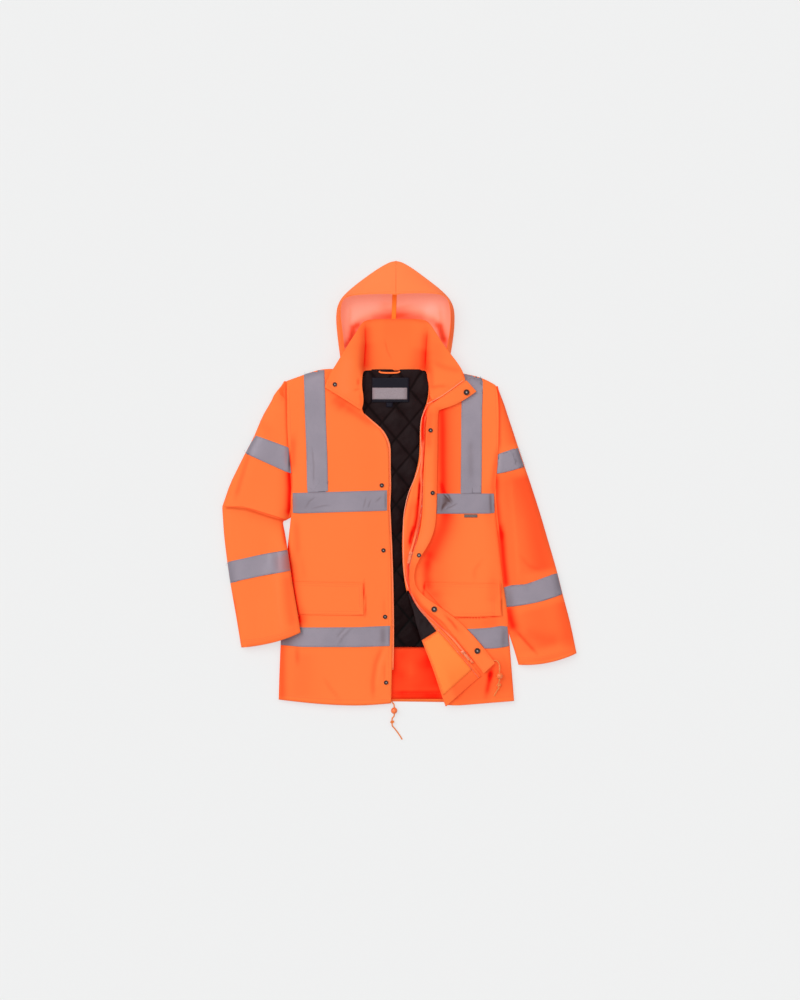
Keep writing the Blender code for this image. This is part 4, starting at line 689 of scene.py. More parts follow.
tapeFoldsAndShade = [foldHead,
    (2.4, -.8, .5, 0, ((113, 507), (121, 499), (127, 490), (135, 482))),
    (2.2, -.8, .5, 0, ((121, 508), (128, 501), (131, 494), (137, 486))),
    (2.2, .8, -.3, 0, ((117, 508), (125, 499), (132, 491))), (2.7, -.8, .6, 0, ((121, 483), (115, 477), (110, 465))),
    (2.2, .7, -.25, 0, ((124, 475), (118, 468))), (2.0, -.5, .35, 0, ((148, 482), (136, 475), (124, 470))),
    (9.0, 0, .5, 0, ((114, 502), (121, 490), (114, 466))), (8.0, 0, .3, 0, ((127, 500), (127, 484))),
    (3.0, 0, .3, 0, ((105, 505), (104, 462))),
    (3.4, 0, .55, 0, ((228, 513), (231, 454))), (6.1, 0, .3, 0, ((262, 180), (260, 131))),
    (2.2, -.6, .25, 0, ((-220, 471), (-211, 486), (-197, 497))),
    (2.2, .6, .2, 0, ((-204, 471), (-180, 477), (-160, 479))),
    (1.9, -.6, .25, 0, ((-80, 469), (-75, 486), (-73, 498))), (1.9, -.6, .25, 0, ((-68, 471), (-61, 491))),
    (2.2, -.7, .3, 0, ((-49, 486), (-35, 499))), (2.4, 0, .4, 0, ((-26, 515), (-26, 464))),
    (7.3, 0, -.3, 0, ((-250, 505), (-250, 464))), (2.2, -.5, .22, 0, ((-203, 617), (-199, 573), (-200, 530))),
    (7.3, 0, .18, 0, ((180, 637), (182, 539))), (3.4, .9, .2, 0, ((-107, 182), (-129, 160), (-141, 139))),
    (2.9, -.8, .24, 0, ((-122, 182), (-143, 158))), (7.8, 0, .38, 0, ((-32, 185), (-32, 136))),
    (2.2, 0, .3, 0, ((-17, 185), (-17, 136))), (19.4, 0, .45, 0, ((-272, 165), (-262, 131))),
    (13.4, 0, -.85, 0, ((-261, 369), (-258, 311))), (14.6, 0, -.25, 0, ((-282, 360), (-277, 311))),
    (8.3, 0, -.5, 0, ((-262, 622), (-260, 564))), (3.9, 0, 1.2, 0, ((-259, 622), (-258, 564))),
    (14.6, 0, .3, 0, ((301, 617), (311, 573))), (9.7, 0, .24, 0, ((275, 277), (277, 228))),
    (12.2, 0, .24, 0, ((394, 316), (403, 267)))]
slideHead = ("x", "y", "reachX", "reachY", "moveX", "moveY")
elbowSlide = [slideHead, (-367, 462, 42, 22, 0, 11), (-318, 452, 42, 22, 0, 6)]
shoulderSlide = [slideHead, (215, 785, 50, 22, 0, 3.2), (-180, 802, 42, 24, 0, 6)]
neckSlide = [slideHead, (-172, 790, 30, 40, -5, 0)]
headHead = ("high", "outer", "outerMove", "inner", "innerMove")  # sleeve heads, widened across
headRight = [headHead, (440, -422, 0, -257, 0), (480, -418, -2, -255, 2.5), (500, -410, -4.5, -254, 4),
             (520, -401, -6.5, -254.5, 4), (540, -392, -7, -255, 4), (580, -374, -5.5, -259, 4.2),
             (620, -355, -4.7, -263, 4.3), (640, -345.6, -4.3, -264.7, 4.3), (660, -333.4, -8, -265.3, 4.4),
             (680, -319.3, -12.8, -265.8, 4.6), (700, -305.2, -16.8, -266.4, 5), (715, -294.6, -18.6, -266.4, 6.5),
             (735, -281.3, -20.5, -266.3, 8.5), (745, -274.7, -22, -266.3, 8.5), (755, -270.7, -18.7, -266.2, 8),
             (765, -269.5, -12.7, -266, 7), (775, -268.4, -7, -266.2, 5), (790, -267, -3, -266, 3)]
headLeft = [headHead, (95, 439, 0, 298, 0), (128, 435, 0, 289, -.5), (150, 431, .5, 284, -2.5),
            (168, 427, 1, 279.5, -5), (200, 421, 1.5, 275, -5.5), (225, 415, 1.5, 271.5, -4.5),
            (250, 409, 1.5, 268, -3.5), (300, 396, 1.5, 261, -3), (350, 382, 1.5, 255, -3), (400, 368, 1.5, 249.5, -3),
            (450, 352, 1.5, 244, -3), (500, 336, 1.5, 240.6, -3), (540, 322.5, 2, 243.9, -3.5),
            (580, 308.8, 2, 247.5, -3.5), (620, 295.4, 2, 249.3, -4),
            (660, 282, 2.5, 250.2, -6.5), (680, 275, 2.5, 250.5, -7), (700, 268.2, 3, 250.5, -7),
            (725, 259.3, 4, 249.9, -5), (745, 251.6, 3.5, 248.1, -3.5), (765, 245.6, 3, 244, -3),
            (780, 241, 3, 240, -3)]
shoulderTop = [  # where the left shoulder's upper edge lies, closed far above it
    (150, 800), (170, 797), (190, 792), (209, 786), (228, 777), (228, 1400), (150, 1400)]
hoodSlide = [slideHead, (-139, 842, 20, 26, 3, -12)]
stillSpots = [(34.8, 360, 22), (163, 121, 24)]  # round the sliders nothing moves: place and reach
foldShape = {"longestTaper": 18.0, "taper": .3, "tip": .35, "sideBlend": 1.4, "sideShift": .6}
seamShut = {"low": 9.6, "over": 8}  # the outline's seams stay shut up to this height


def foldField(rows, x, y):  # each row a bell across its route, thinner at its ends, for a rise and a painted shade
    rise, red = np.zeros_like(x), np.zeros_like(x)
    for half, high, tint, side, route in rows[1:]:
        nearest, aside, reach = np.full_like(x, 1e6), np.zeros_like(x), np.zeros_like(x)
        run = 0.0
        for (x0, y0), (x1, y1) in zip(route, route[1:]):
            runX, runY = x1 - x0, y1 - y0
            length = math.hypot(runX, runY)
            t = np.clip(((x - x0) * runX + (y - y0) * runY) / length ** 2, 0, 1)
            gap = np.hypot(x - x0 - t * runX, y - y0 - t * runY)
            closer = gap < nearest
            nearest = np.where(closer, gap, nearest)
            aside = np.where(closer, ((x - x0) * runY - (y - y0) * runX) / length, aside)
            reach = np.where(closer, run + t * length, reach)
            run += length
        taper = min(foldShape["longestTaper"], run * foldShape["taper"])
        ends = soft(reach / taper) * soft((run - reach) / taper)
        spread = np.exp(-(nearest / half) ** 2) * (foldShape["tip"] + (1 - foldShape["tip"]) * ends)
        if side:
            spread = spread * soft(side * aside / foldShape["sideBlend"] + foldShape["sideShift"])
        rise += high * spread
        red += tint * spread
    return rise, red


def slideBy(rows, points):  # cloth pushed along the surface round a spot: place, reach and move in millimetres
    x, y = patternOf(points)
    moved = points.copy()
    for spotX, spotY, reachX, reachY, moveX, moveY in rows[1:]:
        share = np.exp(-((x - spotX) / reachX) ** 2 - ((y - spotY) / reachY) ** 2)
        moved[:, 0] += moveX * share * mm
        moved[:, 1] += moveY * share * mm
    return moved


def widen(rows, points):  # both long edges moved, and what lies between them in step
    if not rows:
        return points
    x, y = patternOf(points)
    high, *edges = np.array(rows[1:], float).T
    outer, outerMove, inner, innerMove = (np.interp(y, high, edge) for edge in edges)
    along = np.clip((x - outer) / (inner - outer), 0, 1)
    moved = points.copy()
    moved[:, 0] += (outerMove + along * (innerMove - outerMove)) * mm
    return moved


waves = {"count": 7, "shortest": .6, "longest": 1.6, "level": 3.2}
wander = {"high": .6, "size": 105, "seed": 4}  # the cloth's own gentle waves


def ripple(x, y, size, seed):  # gentle unevenness of cloth, between about -1 and 1
    chance = np.random.default_rng(seed)
    total = np.zeros_like(x)
    for _ in range(waves["count"]):
        turn, phase = chance.uniform(0, 2 * math.pi, 2)
        reach = size * chance.uniform(waves["shortest"], waves["longest"])
        total += np.sin((x * math.cos(turn) + y * math.sin(turn)) * 2 * math.pi / reach + phase)
    return total / waves["level"]


def relief(points, rows):  # rise in millimetres and painted shade at each point
    x, y = patternOf(points)
    rise, red = foldField(rows, x, y)
    rise = rise + wander["high"] * ripple(x, y, wander["size"], wander["seed"])
    for spotX, spotY, reach in stillSpots:
        rise = rise * soft((np.hypot(x - spotX, y - spotY) - reach * .5) / reach)
    closing = np.clip((points[:, 2] / mm - seamShut["low"]) / seamShut["over"], 0, 1)
    return rise * closing, np.clip(red, -1, 2)


def tint(piece, red):  # the painted light and shade that the finishes read
    layer = piece.data.attributes.new("paintedShading", "FLOAT", "POINT")
    layer.data.foreach_set("value", np.ascontiguousarray(red, np.float32))


# outlines of the pieces
def rimLoop(node):  # outline of a piece's upper face, in the pattern's millimetres
    wall = splitWall(node, "rim")
    work = bmesh.new()
    work.from_mesh(wall.data)
    edges = {}
    for edge in work.edges:
        kinds = sorted(f.material_index for f in edge.link_faces)
        if kinds[0] != 2 and kinds[-1] == 2:
            for a, b in (edge.verts, reversed(edge.verts)):
                edges.setdefault(a, []).append(b)
    start = next(iter(edges))
    loop, before, here = [start], None, start
    while True:
        ways = [v for v in edges[here] if v is not before]
        if not ways or ways[0] is start or len(loop) > len(edges):
            break
        before, here = here, ways[0]
        loop.append(here)
    points = np.array([v.co[:] for v in loop])
    work.free()
    discard(wall)
    x, y = patternOf(points)
    outline = np.stack([x, y], axis=1)
    doubled = np.roll(outline, -1, axis=0)
    area = np.sum(outline[:, 0] * doubled[:, 1] - doubled[:, 0] * outline[:, 1]) / 2
    return outline if area > 0 else outline[::-1]


def inset(outline, depth):  # inwards from an outline that runs anticlockwise
    ahead, behind = np.roll(outline, -1, axis=0), np.roll(outline, 1, axis=0)
    first = outline - behind
    second = ahead - outline
    first = first / np.maximum(np.linalg.norm(first, axis=1), 1e-6)[:, None]
    second = second / np.maximum(np.linalg.norm(second, axis=1), 1e-6)[:, None]
    normals = np.stack([-(first + second)[:, 1], (first + second)[:, 0]], axis=1)
    size = np.linalg.norm(normals, axis=1)[:, None]
    normals = normals / np.maximum(size, .5)
    sharp = np.maximum(np.sqrt((1 + np.sum(first * second, axis=1)) / 2), .5)[:, None]
    return outline + normals * depth / sharp


never = 1e6  # a distance that stands for no meeting


def distanceAlong(points, way, outline):  # from each point to where an outline is met, in millimetres
    step = np.roll(outline, -1, axis=0) - outline
    best = np.full(len(points), never)
    for (ax, ay), (sx, sy) in zip(outline, step):
        cross = way[0] * sy - way[1] * sx
        if abs(cross) < 1e-9:
            continue
        t = ((ax - points[:, 0]) * sy - (ay - points[:, 1]) * sx) / cross
        u = ((ax - points[:, 0]) * way[1] - (ay - points[:, 1]) * way[0]) / cross
        hit = (t > 0) & (u >= 0) & (u <= 1)
        best = np.where(hit & (t < best), t, best)
    return best


reachRule = {"over": 14.0, "least": -2, "most": 16.0, "nudge": .004}


def reachTo(points, own, way, target, gap, until=None, most=reachRule["most"]):  # an end run on to another outline
    way = np.array(way, float) / math.hypot(*way)
    flat = np.stack(patternOf(points), axis=1)
    aside = own.mean(axis=0) - flat  # a little off the side edges, which the ray would slip past
    aside = aside - np.outer(aside @ way, way)
    inside = distanceAlong(flat + aside * reachRule["nudge"], way, own)
    inside = np.where(inside == never, 0, inside)
    goal = distanceAlong(flat, way, target)
    shift = np.where(goal == never, 0, np.clip(goal - inside - gap, reachRule["least"], most))
    share = np.clip(1 - inside / reachRule["over"], 0, 1)
    if until is not None:  # no farther than this line
        shift = np.minimum(shift, np.maximum(flat[:, 0] - inside - until, 0))
    moved = points.copy()
    moved[:, 0] += way[0] * shift * share * mm
    moved[:, 1] += way[1] * shift * share * mm
    return moved


outlines = {}


def outlineOf(node):
    if not isinstance(node, str):  # already a line of points
        return np.array(node, float)
    if node not in outlines:
        outlines[node] = rimLoop(node)
    return outlines[node]


def finishSheet(piece, node, slot, size, held, under, angle=50):
    dropLayers(piece)
    shade(piece, angle)
    settle(piece, slot, node)
    declareSheet(size, held, under)
    surfaces[node] = treeOf(piece.data)


# sheets: node, levels, finishes, cut width, length and area, what they rest on and how they are held
surfaces = {}  # each finished piece's tree by its node, for what is sewn onto it
shell = {"slot": "hi_vis_shell", "levels": 2, "below": "clothEdgeShaded", "edge": "clothEdgeShaded", "above": "hiVis",
         "rests": (), "held": "laid"}
frontPanel = {**shell, "levels": 3, "rows": bodyFoldsAndShade, "slides": shoulderSlide, "rests": ("back",)}
topSleeve = {**shell, "levels": 3, "rows": sleeveFoldsAndShade}
underSleeve = {**shell, "below": "underside"}
hoodHalf = {**shell, "levels": 4, "cut": (.24, .27, .044), "rows": hoodFoldsAndShade, "within": hoodInsideShade, "below": "hiVis",
            "edge": "hiVis", "above": "hoodInside", "held": "folded",
            "crown": {"high": 5.0, "round": 2.6, "peak": 9, "from": 885, "to": 1010}}
clothPieces = {
    "back": {**shell, "node": "back", "cut": (.60, .83, .43), "below": "underside", "slides": shoulderSlide},
    "frontRight": {**frontPanel, "node": "front_r", "cut": (.30, .83, .20)},
    "frontLeft": {**frontPanel, "node": "front_l", "cut": (.31, .84, .20), "below": "hiVis",
                  "rows": bodyFoldsAndShade + edgeFoldsAndShade[1:],  # strip: the lining's cloth runs on over this route
                  "strip": {"route": ((27, 272), (40, 232), (54, 182)), "reach": 5.5, "from": .35, "facing": -.2}},
    "sleeveTopRight": {**topSleeve, "node": "sleeve_top_r", "cut": (.22, .68, .085), "slides": elbowSlide,
                       "head": headRight, "rests": ("sleeve_under_r",)},
    "sleeveUnderRight": {**underSleeve, "node": "sleeve_under_r", "cut": (.22, .67, .082), "slides": elbowSlide,
                         "head": headRight},
    "sleeveTopLeft": {**topSleeve, "node": "sleeve_top_l", "cut": (.20, .70, .073), "head": headLeft,
                      "rests": ("sleeve_under_l",)},
    "sleeveUnderLeft": {**underSleeve, "node": "sleeve_under_l", "cut": (.20, .69, .070), "head": headLeft},
    "collar": {**shell, "node": "collar", "levels": 4, "cut": (.46, .14, .045), "rows": collarFoldsAndShade,
               "reach": {"way": (.52, -.85), "to": "storm_flap_l", "gap": .3, "most": 8.0, "blend": 20,
                         "left": 55, "right": 210, "low": 700, "high": 800},
               "slides": neckSlide, "rests": ("front_r", "front_l"), "held": "folded"},
    "hoodRight": {**hoodHalf, "node": "hood_r", "slides": hoodSlide},
    "hoodLeft": {**hoodHalf, "node": "hood_l"},
    "stormFlap": {**shell, "node": "storm_flap_l", "levels": 3, "cut": (.05, .80, .026), "rows": flapFoldsAndShade,
                  "rests": ("front_l",)},
    "hangingLoop": {**shell, "node": "hanging_loop", "cut": (.006, .06, .00032), "below": "hiVis", "edge": "hiVis",
                    "rests": ("back_lining",)},
}


def runOn(points, own, reach):  # one corner of a piece, run on to another piece's outline
    grown = reachTo(points, own, reach["way"], outlineOf(reach["to"]), reach["gap"], most=reach["most"])
    x, y = patternOf(points)
    room = (x - reach["left"], reach["right"] - x, y - reach["low"], reach["high"] - y)
    share = math.prod(soft(inside / reach["blend"]) for inside in room)
    return points + (grown - points) * share[:, None]


def fuller(points, crown):  # the hood's crown rounder than its pattern
    x, y = patternOf(points)
    share = soft((y - crown["from"]) / (crown["to"] - crown["from"]))
    rise = crown["high"] - crown["round"] * np.exp(-(x / crown["peak"]) ** 2)
    moved = points.copy()
    moved[:, 1] += rise * share * mm
    return moved


def lineStrip(piece, strip):
    centres = np.array([face.center[:] for face in piece.data.polygons])
    rows = [foldHead, (strip["reach"], 0, 1, 0, strip["route"])]
    near = foldField(rows, *patternOf(centres))[1] > strip["from"]
    for face, chosen in zip(piece.data.polygons, near):
        if chosen and face.normal.z > strip["facing"]:
            face.material_index = 3


def makeCloth(name, facts):
    node = facts["node"]
    piece = splitWall(node, name)
    dress(piece, facts["below"], facts["edge"], facts["above"], "lining")
    subdivide(piece, facts["levels"])
    points = pointsOf(piece.data)
    if "crown" in facts:
        points = fuller(points, facts["crown"])
    if "reach" in facts:
        points = runOn(points, outlineOf(node), facts["reach"])
    points = slideBy(facts.get("slides", ()), widen(facts.get("head"), points))
    red = np.zeros(len(points))
    if "rows" in facts:
        rise, red = relief(points, facts["rows"])
        if "within" in facts:
            inner = np.clip(foldField(facts["within"], *patternOf(points))[1], -1, 2)
            red = np.where(layerOf(piece, "upper") > .6, inner, red)
        points[:, 2] += rise * mm
    setPoints(piece.data, points)
    tint(piece, red)
    if "strip" in facts:
        lineStrip(piece, facts["strip"])
    finishSheet(piece, node, facts["slot"], facts["cut"], facts["held"], facts["rests"])


for clothName, clothFacts in clothPieces.items():
    makeCloth(clothName, clothFacts)
print("cloth cut:", len(clothPieces))


# quilted lining: puffed diamonds between sharp stitch lines
quilt = {"wide": 34.0, "long": 40.0, "flat": 3.0, "puff": 4.3, "round": .55, "cut": (.45, .67, .30),
         "crumples": ((.16, 26, 9), (.10, 13, 3)), "edge": 3, "grow": 9.0, "growFrom": 760, "growOver": 30,
         "stitch": .12, "stitchShade": 1.1}
# painted light and shade on the lining: paler towards the neck, in patches, and darker towards the hem, a painted
# shade
quiltShading = {"pale": .30, "from": 430, "over": 160, "patch": .5, "patchSize": 40, "seed": 6, "dark": .35,
             "darkTo": 330}


def diamonds(x, y):
    a, b = x / quilt["wide"], y / quilt["long"]
    return np.abs(np.sin(math.pi * (a + b) / 2)), np.abs(np.sin(math.pi * (a - b) / 2))


def makeLining():
    piece = splitWall("back_lining", "backLining")
    dress(piece, "lining", "lining", "lining")
    coarse = treeOf(piece.data)
    subdivide(piece, 3, "SIMPLE")
    points = pointsOf(piece.data)
    upper = layerOf(piece, "upper") > .5
    x, y = patternOf(points)
    first, second = diamonds(x, y)
    crumple = 1 + sum(share * ripple(x, y, size, seed) for share, size, seed in quilt["crumples"])
    level = np.empty(len(points))
    for i, point in enumerate(points):  # height of the wall's lower face
        spot, _, _, _ = coarse.ray_cast(Vector((point[0], point[1], -.05)), Vector((0, 0, 1)))
        level[i] = spot.z if spot is not None else point[2]
    full = quilt["flat"] * mm + quilt["puff"] * mm * (first * second) ** quilt["round"] * crumple
    inward = (points[:, 2] - level) / (quilt["edge"] * mm) > .5
    points[:, 2] = np.where(upper & inward, level + full, points[:, 2])
    points[:, 1] += quilt["grow"] * soft((y - quilt["growFrom"]) / quilt["growOver"]) * mm
    setPoints(piece.data, points)
    # painted light paler towards the neck, painted shade darker towards the hem
    patches = 1 + quiltShading["patch"] * ripple(x, y, quiltShading["patchSize"], quiltShading["seed"])
    wearAndPaintedLight = -quiltShading["pale"] * soft((y - quiltShading["from"]) / quiltShading["over"]) * patches
    wearAndPaintedLight += quiltShading["dark"] * soft((quiltShading["darkTo"] - y) / quiltShading["over"])
    # painted shade along the stitch lines, in the valleys between the puffs
    paintedStitchShade = quilt["stitchShade"] * np.exp(-(np.minimum(first, second) / quilt["stitch"]) ** 2)
    tint(piece, np.where(upper, wearAndPaintedLight + paintedStitchShade, 0))
    finishSheet(piece, "back_lining", "lining", quilt["cut"], "laid", ("back",), 60)


makeLining()
print("lining quilted")


# pieces sewn flat onto another: carrier and wall in millimetres
tape = {"wall": .7, "levels": 4, "finish": "tape", "slot": "reflective_tape", "thread": "threadGrey", "reddened": .3}
onFrontRight = {**tape, "on": "front_r", "rows": bodyFoldsAndShade}
onFrontLeft = {**tape, "on": "front_l", "rows": bodyFoldsAndShade}
onSleeveRight = {**tape, "on": "sleeve_top_r", "rows": sleeveFoldsAndShade}
onSleeveLeft = {**tape, "on": "sleeve_top_l", "rows": sleeveFoldsAndShade, "head": headLeft}
sewnFlap = {"wall": 1.6, "levels": 4, "finish": "hiVis", "slot": "hi_vis_shell", "thread": "threadOrange",
            "on": "front_l", "rows": bodyFoldsAndShade, "reddened": 1}
laidPieces = {  # reach: which way an end runs on, to which outline, the gap left there and a line it stops at
    "chestTapeRight": {**onFrontRight, "node": "tape_chest_r", "cut": (.05, .235)},
    "chestTapeLeft": {**onFrontLeft, "node": "tape_chest_l", "cut": (.05, .14),
                      "reach": [((-1, 0), "storm_flap_l", .4)]},
    "braceTapeRight": {**onFrontRight, "node": "tape_brace_r", "cut": (.05, .32),
                       "reach": [((-.045, 1), "front_r", -10.0), ((.045, -1), "tape_chest_r", .05)]},
    "braceTapeLeft": {**onFrontLeft, "node": "tape_brace_l", "cut": (.05, .30),
                      "reach": [((0, 1), shoulderTop, -7.5), ((0, -1), "tape_chest_l", .05)]},
    "hemTapeRight": {**onFrontRight, "node": "tape_hem_r", "cut": (.05, .265)},
    "hemTapeLeft": {**onFrontLeft, "node": "tape_hem_l", "cut": (.05, .105, .0042),
                    "reach": [((-1, 0), "storm_flap_l", .4)]},
    "upperTapeRight": {**onSleeveRight, "node": "tape_upper_r", "cut": (.05, .17), "head": headRight,
                       "reach": [((-1, .42), "sleeve_top_r", -1.5), ((1, -.42), "sleeve_top_r", 1.5)]},
    "upperTapeLeft": {**onSleeveLeft, "node": "tape_upper_l", "cut": (.05, .11),
                      "reach": [((1, .24), "sleeve_top_l", -1.5), ((-1, -.24), "sleeve_top_l", 1.5)]},
    "lowerTapeRight": {**onSleeveRight, "node": "tape_lower_r", "cut": (.05, .19),
                       "reach": [((-1, -.2), "sleeve_top_r", -1.5), ((1, .2), "sleeve_top_r", -.5)]},
    "lowerTapeLeft": {**onSleeveLeft, "node": "tape_lower_l", "cut": (.05, .175),
                      "reach": [((1, .22), "sleeve_top_l", -1.5), ((-1, -.22), "sleeve_top_l", -.5)]},
    "pocketFlapRight": {**sewnFlap, "node": "pocket_flap_r", "on": "front_r", "cut": (.18, .083, .0144)},
    "pocketFlapLeft": {**sewnFlap, "node": "pocket_flap_l", "cut": (.20, .083, .0135),
                       "reach": [((-1, 0), "storm_flap_l", .5, 69.5)]},
    "cornerFacing": {**sewnFlap, "node": "front_facing_l", "cut": (.10, .13, .0085), "wall": 1.2, "levels": 2,
                     "finish": "facing", "slot": "facing"},
    "cornerLining": {**sewnFlap, "node": "front_lining_l", "cut": (.05, .12, .0032), "wall": 2.4,
                     "finish": "lining", "slot": "lining", "thread": "threadBlack"},
    "sideTab": {**sewnFlap, "node": "side_tab", "cut": (.0075, .0315), "wall": 1.0, "levels": 2,
                "finish": "tabCloth", "slot": "label_panel", "thread": "threadGrey"},
}
laying = {"leastFoot": .7, "footShare": 4, "above": 12, "crease": .5, "deepest": -.7, "steepest": .5}
cornerPaler = {"pale": -.75, "patch": .5, "size": 26, "seed": 5}


def runEnds(facts, points):  # a sewn piece's ends run on, and its width kept to the sleeve head's
    for way, target, gap, *until in facts.get("reach", ()):
        points = reachTo(points, outlineOf(facts["node"]), way, outlineOf(target), gap, *until)
    return widen(facts.get("head"), points)


def makeLaid(name, facts):
    node, finish = facts["node"], facts["finish"]
    piece = splitWall(node, name)
    dress(piece, *[finish] * 3)
    carrier = surfaces[facts["on"]]
    coarse = treeOf(nodes[facts["on"]].data)
    lowest = [coarse.find_nearest(v.co)[3] / mm for v in piece.data.vertices]
    foot = max(laying["leastFoot"], float(np.percentile(lowest, laying["footShare"])))
    subdivide(piece, facts["levels"], "SIMPLE")
    points = runEnds(facts, pointsOf(piece.data))
    upper = layerOf(piece, "upper")
    x, y = patternOf(points)
    rise, red = relief(points, facts["rows"])
    own, ownRed = foldField(tapeFoldsAndShade if finish == "tape" else (), x, y)
    # the carrier's painted shade, scaled by reddened, and the piece's own painted shade
    red = np.clip(red * facts["reddened"] + ownRed, -1, 2)
    # the corner lining paler, in patches
    if finish == "lining":
        patches = np.clip(ripple(x, y, cornerPaler["size"], cornerPaler["seed"]), 0, 1)
        red = cornerPaler["pale"] + cornerPaler["patch"] * patches
    points[:, 2] += rise * mm
    crease = laying["crease"] * np.maximum(own, laying["deepest"])
    for i, point in enumerate(points):
        off = (foot + facts["wall"] * upper[i] + crease[i]) * mm
        start = Vector((point[0], point[1], point[2] + laying["above"] * mm))
        spot, normal, _, _ = carrier.ray_cast(start, Vector((0, 0, -1)))
        if spot is not None:
            points[i] = spot + Vector((0, 0, off / max(abs(normal.z), laying["steepest"])))
        else:
            spot, normal, _, _ = carrier.find_nearest(Vector(point))
            points[i] = spot + (normal if normal.z > -.05 else -normal) * off
    setPoints(piece.data, points)
    tint(piece, red)
    finishSheet(piece, node, facts["slot"], facts["cut"], "laid", (facts["on"],))


for laidName, laidFacts in laidPieces.items():
    makeLaid(laidName, laidFacts)
print("sewn pieces laid:", len(laidPieces))


# flat pieces that keep the frame's shape
flatPieces = {
    "hemFacing": {"node": "back_hem_facing", "finish": "hiVis", "slot": "facing", "cut": (.34, .135, .0425),
                  "on": "back", "levels": 4, "rows": hemFoldsAndShade},
    "hoodSeamTape": {"node": "hood_seam_tape", "finish": "seamTape", "slot": "hi_vis_shell", "cut": (.012, .21),
                     "on": "hood_l", "levels": 2},
    "neckLabel": {"node": "label", "finish": "label", "slot": "label", "cut": (.092, .061),
                  "on": "back_lining", "levels": 4},
    "labelPatch": {"node": "label_panel", "finish": "labelPanel", "slot": "label_panel", "cut": (.085, .029),
                   "on": "label", "levels": 3},
    "sizeTab": {"node": "size_tab", "finish": "label", "slot": "label", "cut": (.016, .0115),
                "on": "back_lining", "levels": 2},
    "zipTapeRight": {"node": "zip_tape_r", "finish": "zipTape", "slot": "zip", "cut": (.0115, .64),
                     "on": "front_r", "levels": 2},
    "zipTapeLeft": {"node": "zip_tape_l", "finish": "zipTape", "slot": "zip", "cut": (.01, .64, .0046),
                    "on": "front_l", "levels": 2, "rows": edgeFoldsAndShade},
}
flatWear = {"dark": .1, "size": 60, "seed": 2}


def makeFlat(name, facts):
    piece = splitWall(facts["node"], name)
    dress(piece, *[facts["finish"]] * 3)
    subdivide(piece, facts["levels"], "SIMPLE")
    x, y = patternOf(pointsOf(piece.data))
    red = np.clip(foldField(facts.get("rows", ()), x, y)[1], -1, 2)
    tint(piece, red + flatWear["dark"] * np.clip(ripple(x, y, flatWear["size"], flatWear["seed"]), 0, 1))
    finishSheet(piece, facts["node"], facts["slot"], facts["cut"], "laid", (facts["on"],))


for flatName, flatFacts in flatPieces.items():
    makeFlat(flatName, flatFacts)
print("flat pieces made:", len(flatPieces))


# copies of one small model, each at its own place, in one mesh
def scatter(name, model, places, finish):
    base = pointsOf(model.data)
    corners = [tuple(p.vertices) for p in model.data.polygons]
    points, faces = [], []
    for index, spot in enumerate(places):
        turn = np.array(spot.to_3x3())
        points.append(base @ turn.T + np.array(spot.translation))
        faces += [tuple(c + index * len(base) for c in corner) for corner in corners]
    piece = newPiece(name, np.concatenate(points), faces, finish)
    return shade(piece, 40)


def frameOn(spot, along, normal):  # X along the line, Z off the surface
    along = Vector(along)
    along = (along - normal * along.dot(normal)).normalized()
    side = normal.cross(along)
    return Matrix.Translation(spot) @ Matrix((along, side, normal)).transposed().to_4x4()


def walk(route, spacing):  # even places along a route of x, y points in millimetres
    route = np.array(route, float)
    steps = np.hypot(*np.diff(route, axis=0).T)
    reach = np.concatenate([[0], np.cumsum(steps)])
    count = max(2, int(reach[-1] / spacing))
    stations = (np.arange(count) + .5) * reach[-1] / count
    here, ahead, behind = (np.array([np.interp(stations + off, reach, axis) for axis in route.T])
                           for off in (0, .5, -.5))
    return np.concatenate([here, ahead - behind]).T


def spotsAlong(route, spacing, carrier, proud, aside=0):  # places on a carrier, a little proud of it
    spots = []
    for x, y, dx, dy in walk(route, spacing):
        run = math.hypot(dx, dy)
        here = place(x - dy / run * aside, y + dx / run * aside)
        spot, normal = drop(surfaces[carrier], here.x, here.y)
        spots.append(frameOn(spot + normal * proud * mm, (dx, dy, 0), normal))
    return spots


# zip teeth
zipTooth = {"size": (1.7, 3.4, 1.3), "pitch": 2.9, "edge": .3, "proud": .35, "aside": 2.2, "on": "zip_tape_l",
            "route": [(203, 60), (194, 71.5), (157, 117), (125.5, 155), (81.5, 199.5), (57, 230), (40.5, 262),
                      (35.7, 333), (52.5, 396), (64.7, 469.5), (67.7, 520), (68.2, 540)]}


def makeTeeth():
    rest()
    bpy.ops.mesh.primitive_cube_add(size=mm)
    tooth = bpy.context.object
    tooth.scale = zipTooth["size"]
    bpy.ops.object.transform_apply(location=False, rotation=False, scale=True)
    bevelEdges(tooth, zipTooth["edge"], 1)
    spots = spotsAlong(zipTooth["route"], zipTooth["pitch"], zipTooth["on"], zipTooth["proud"], zipTooth["aside"])
    settle(scatter("teethLeft", tooth, spots, "zipTeeth"), "zip")
    discard(tooth)


makeTeeth()
print("zip teeth set")


# stitches
stitch = {"long": 3.0, "pitch": 4.2, "thick": .55, "flat": .7, "proud": .12, "tip": .45, "tipDown": .18}


def makeStitchModel():
    bpy.ops.mesh.primitive_cylinder_add(vertices=6, radius=.5 * mm, depth=mm, end_fill_type="TRIFAN",
                                        rotation=(0, math.pi / 2, 0))
    model = bpy.context.object
    bpy.ops.object.transform_apply(location=False, rotation=True, scale=False)
    points = pointsOf(model.data)
    tips = np.abs(points[:, 0]) > stitch["tip"] * mm
    points *= (stitch["long"], stitch["thick"], stitch["thick"] * stitch["flat"])
    points[tips, 2] -= stitch["tipDown"] * mm
    setPoints(model.data, points)
    return model


stitchModel = makeStitchModel()


def sew(name, routes, carrier, thread):
    spots = [spot for route in routes for spot in spotsAlong(route, stitch["pitch"], carrier, stitch["proud"])]
    settle(scatter(name, stitchModel, spots, thread), "lining" if thread == "threadBlack" else "hi_vis_shell")


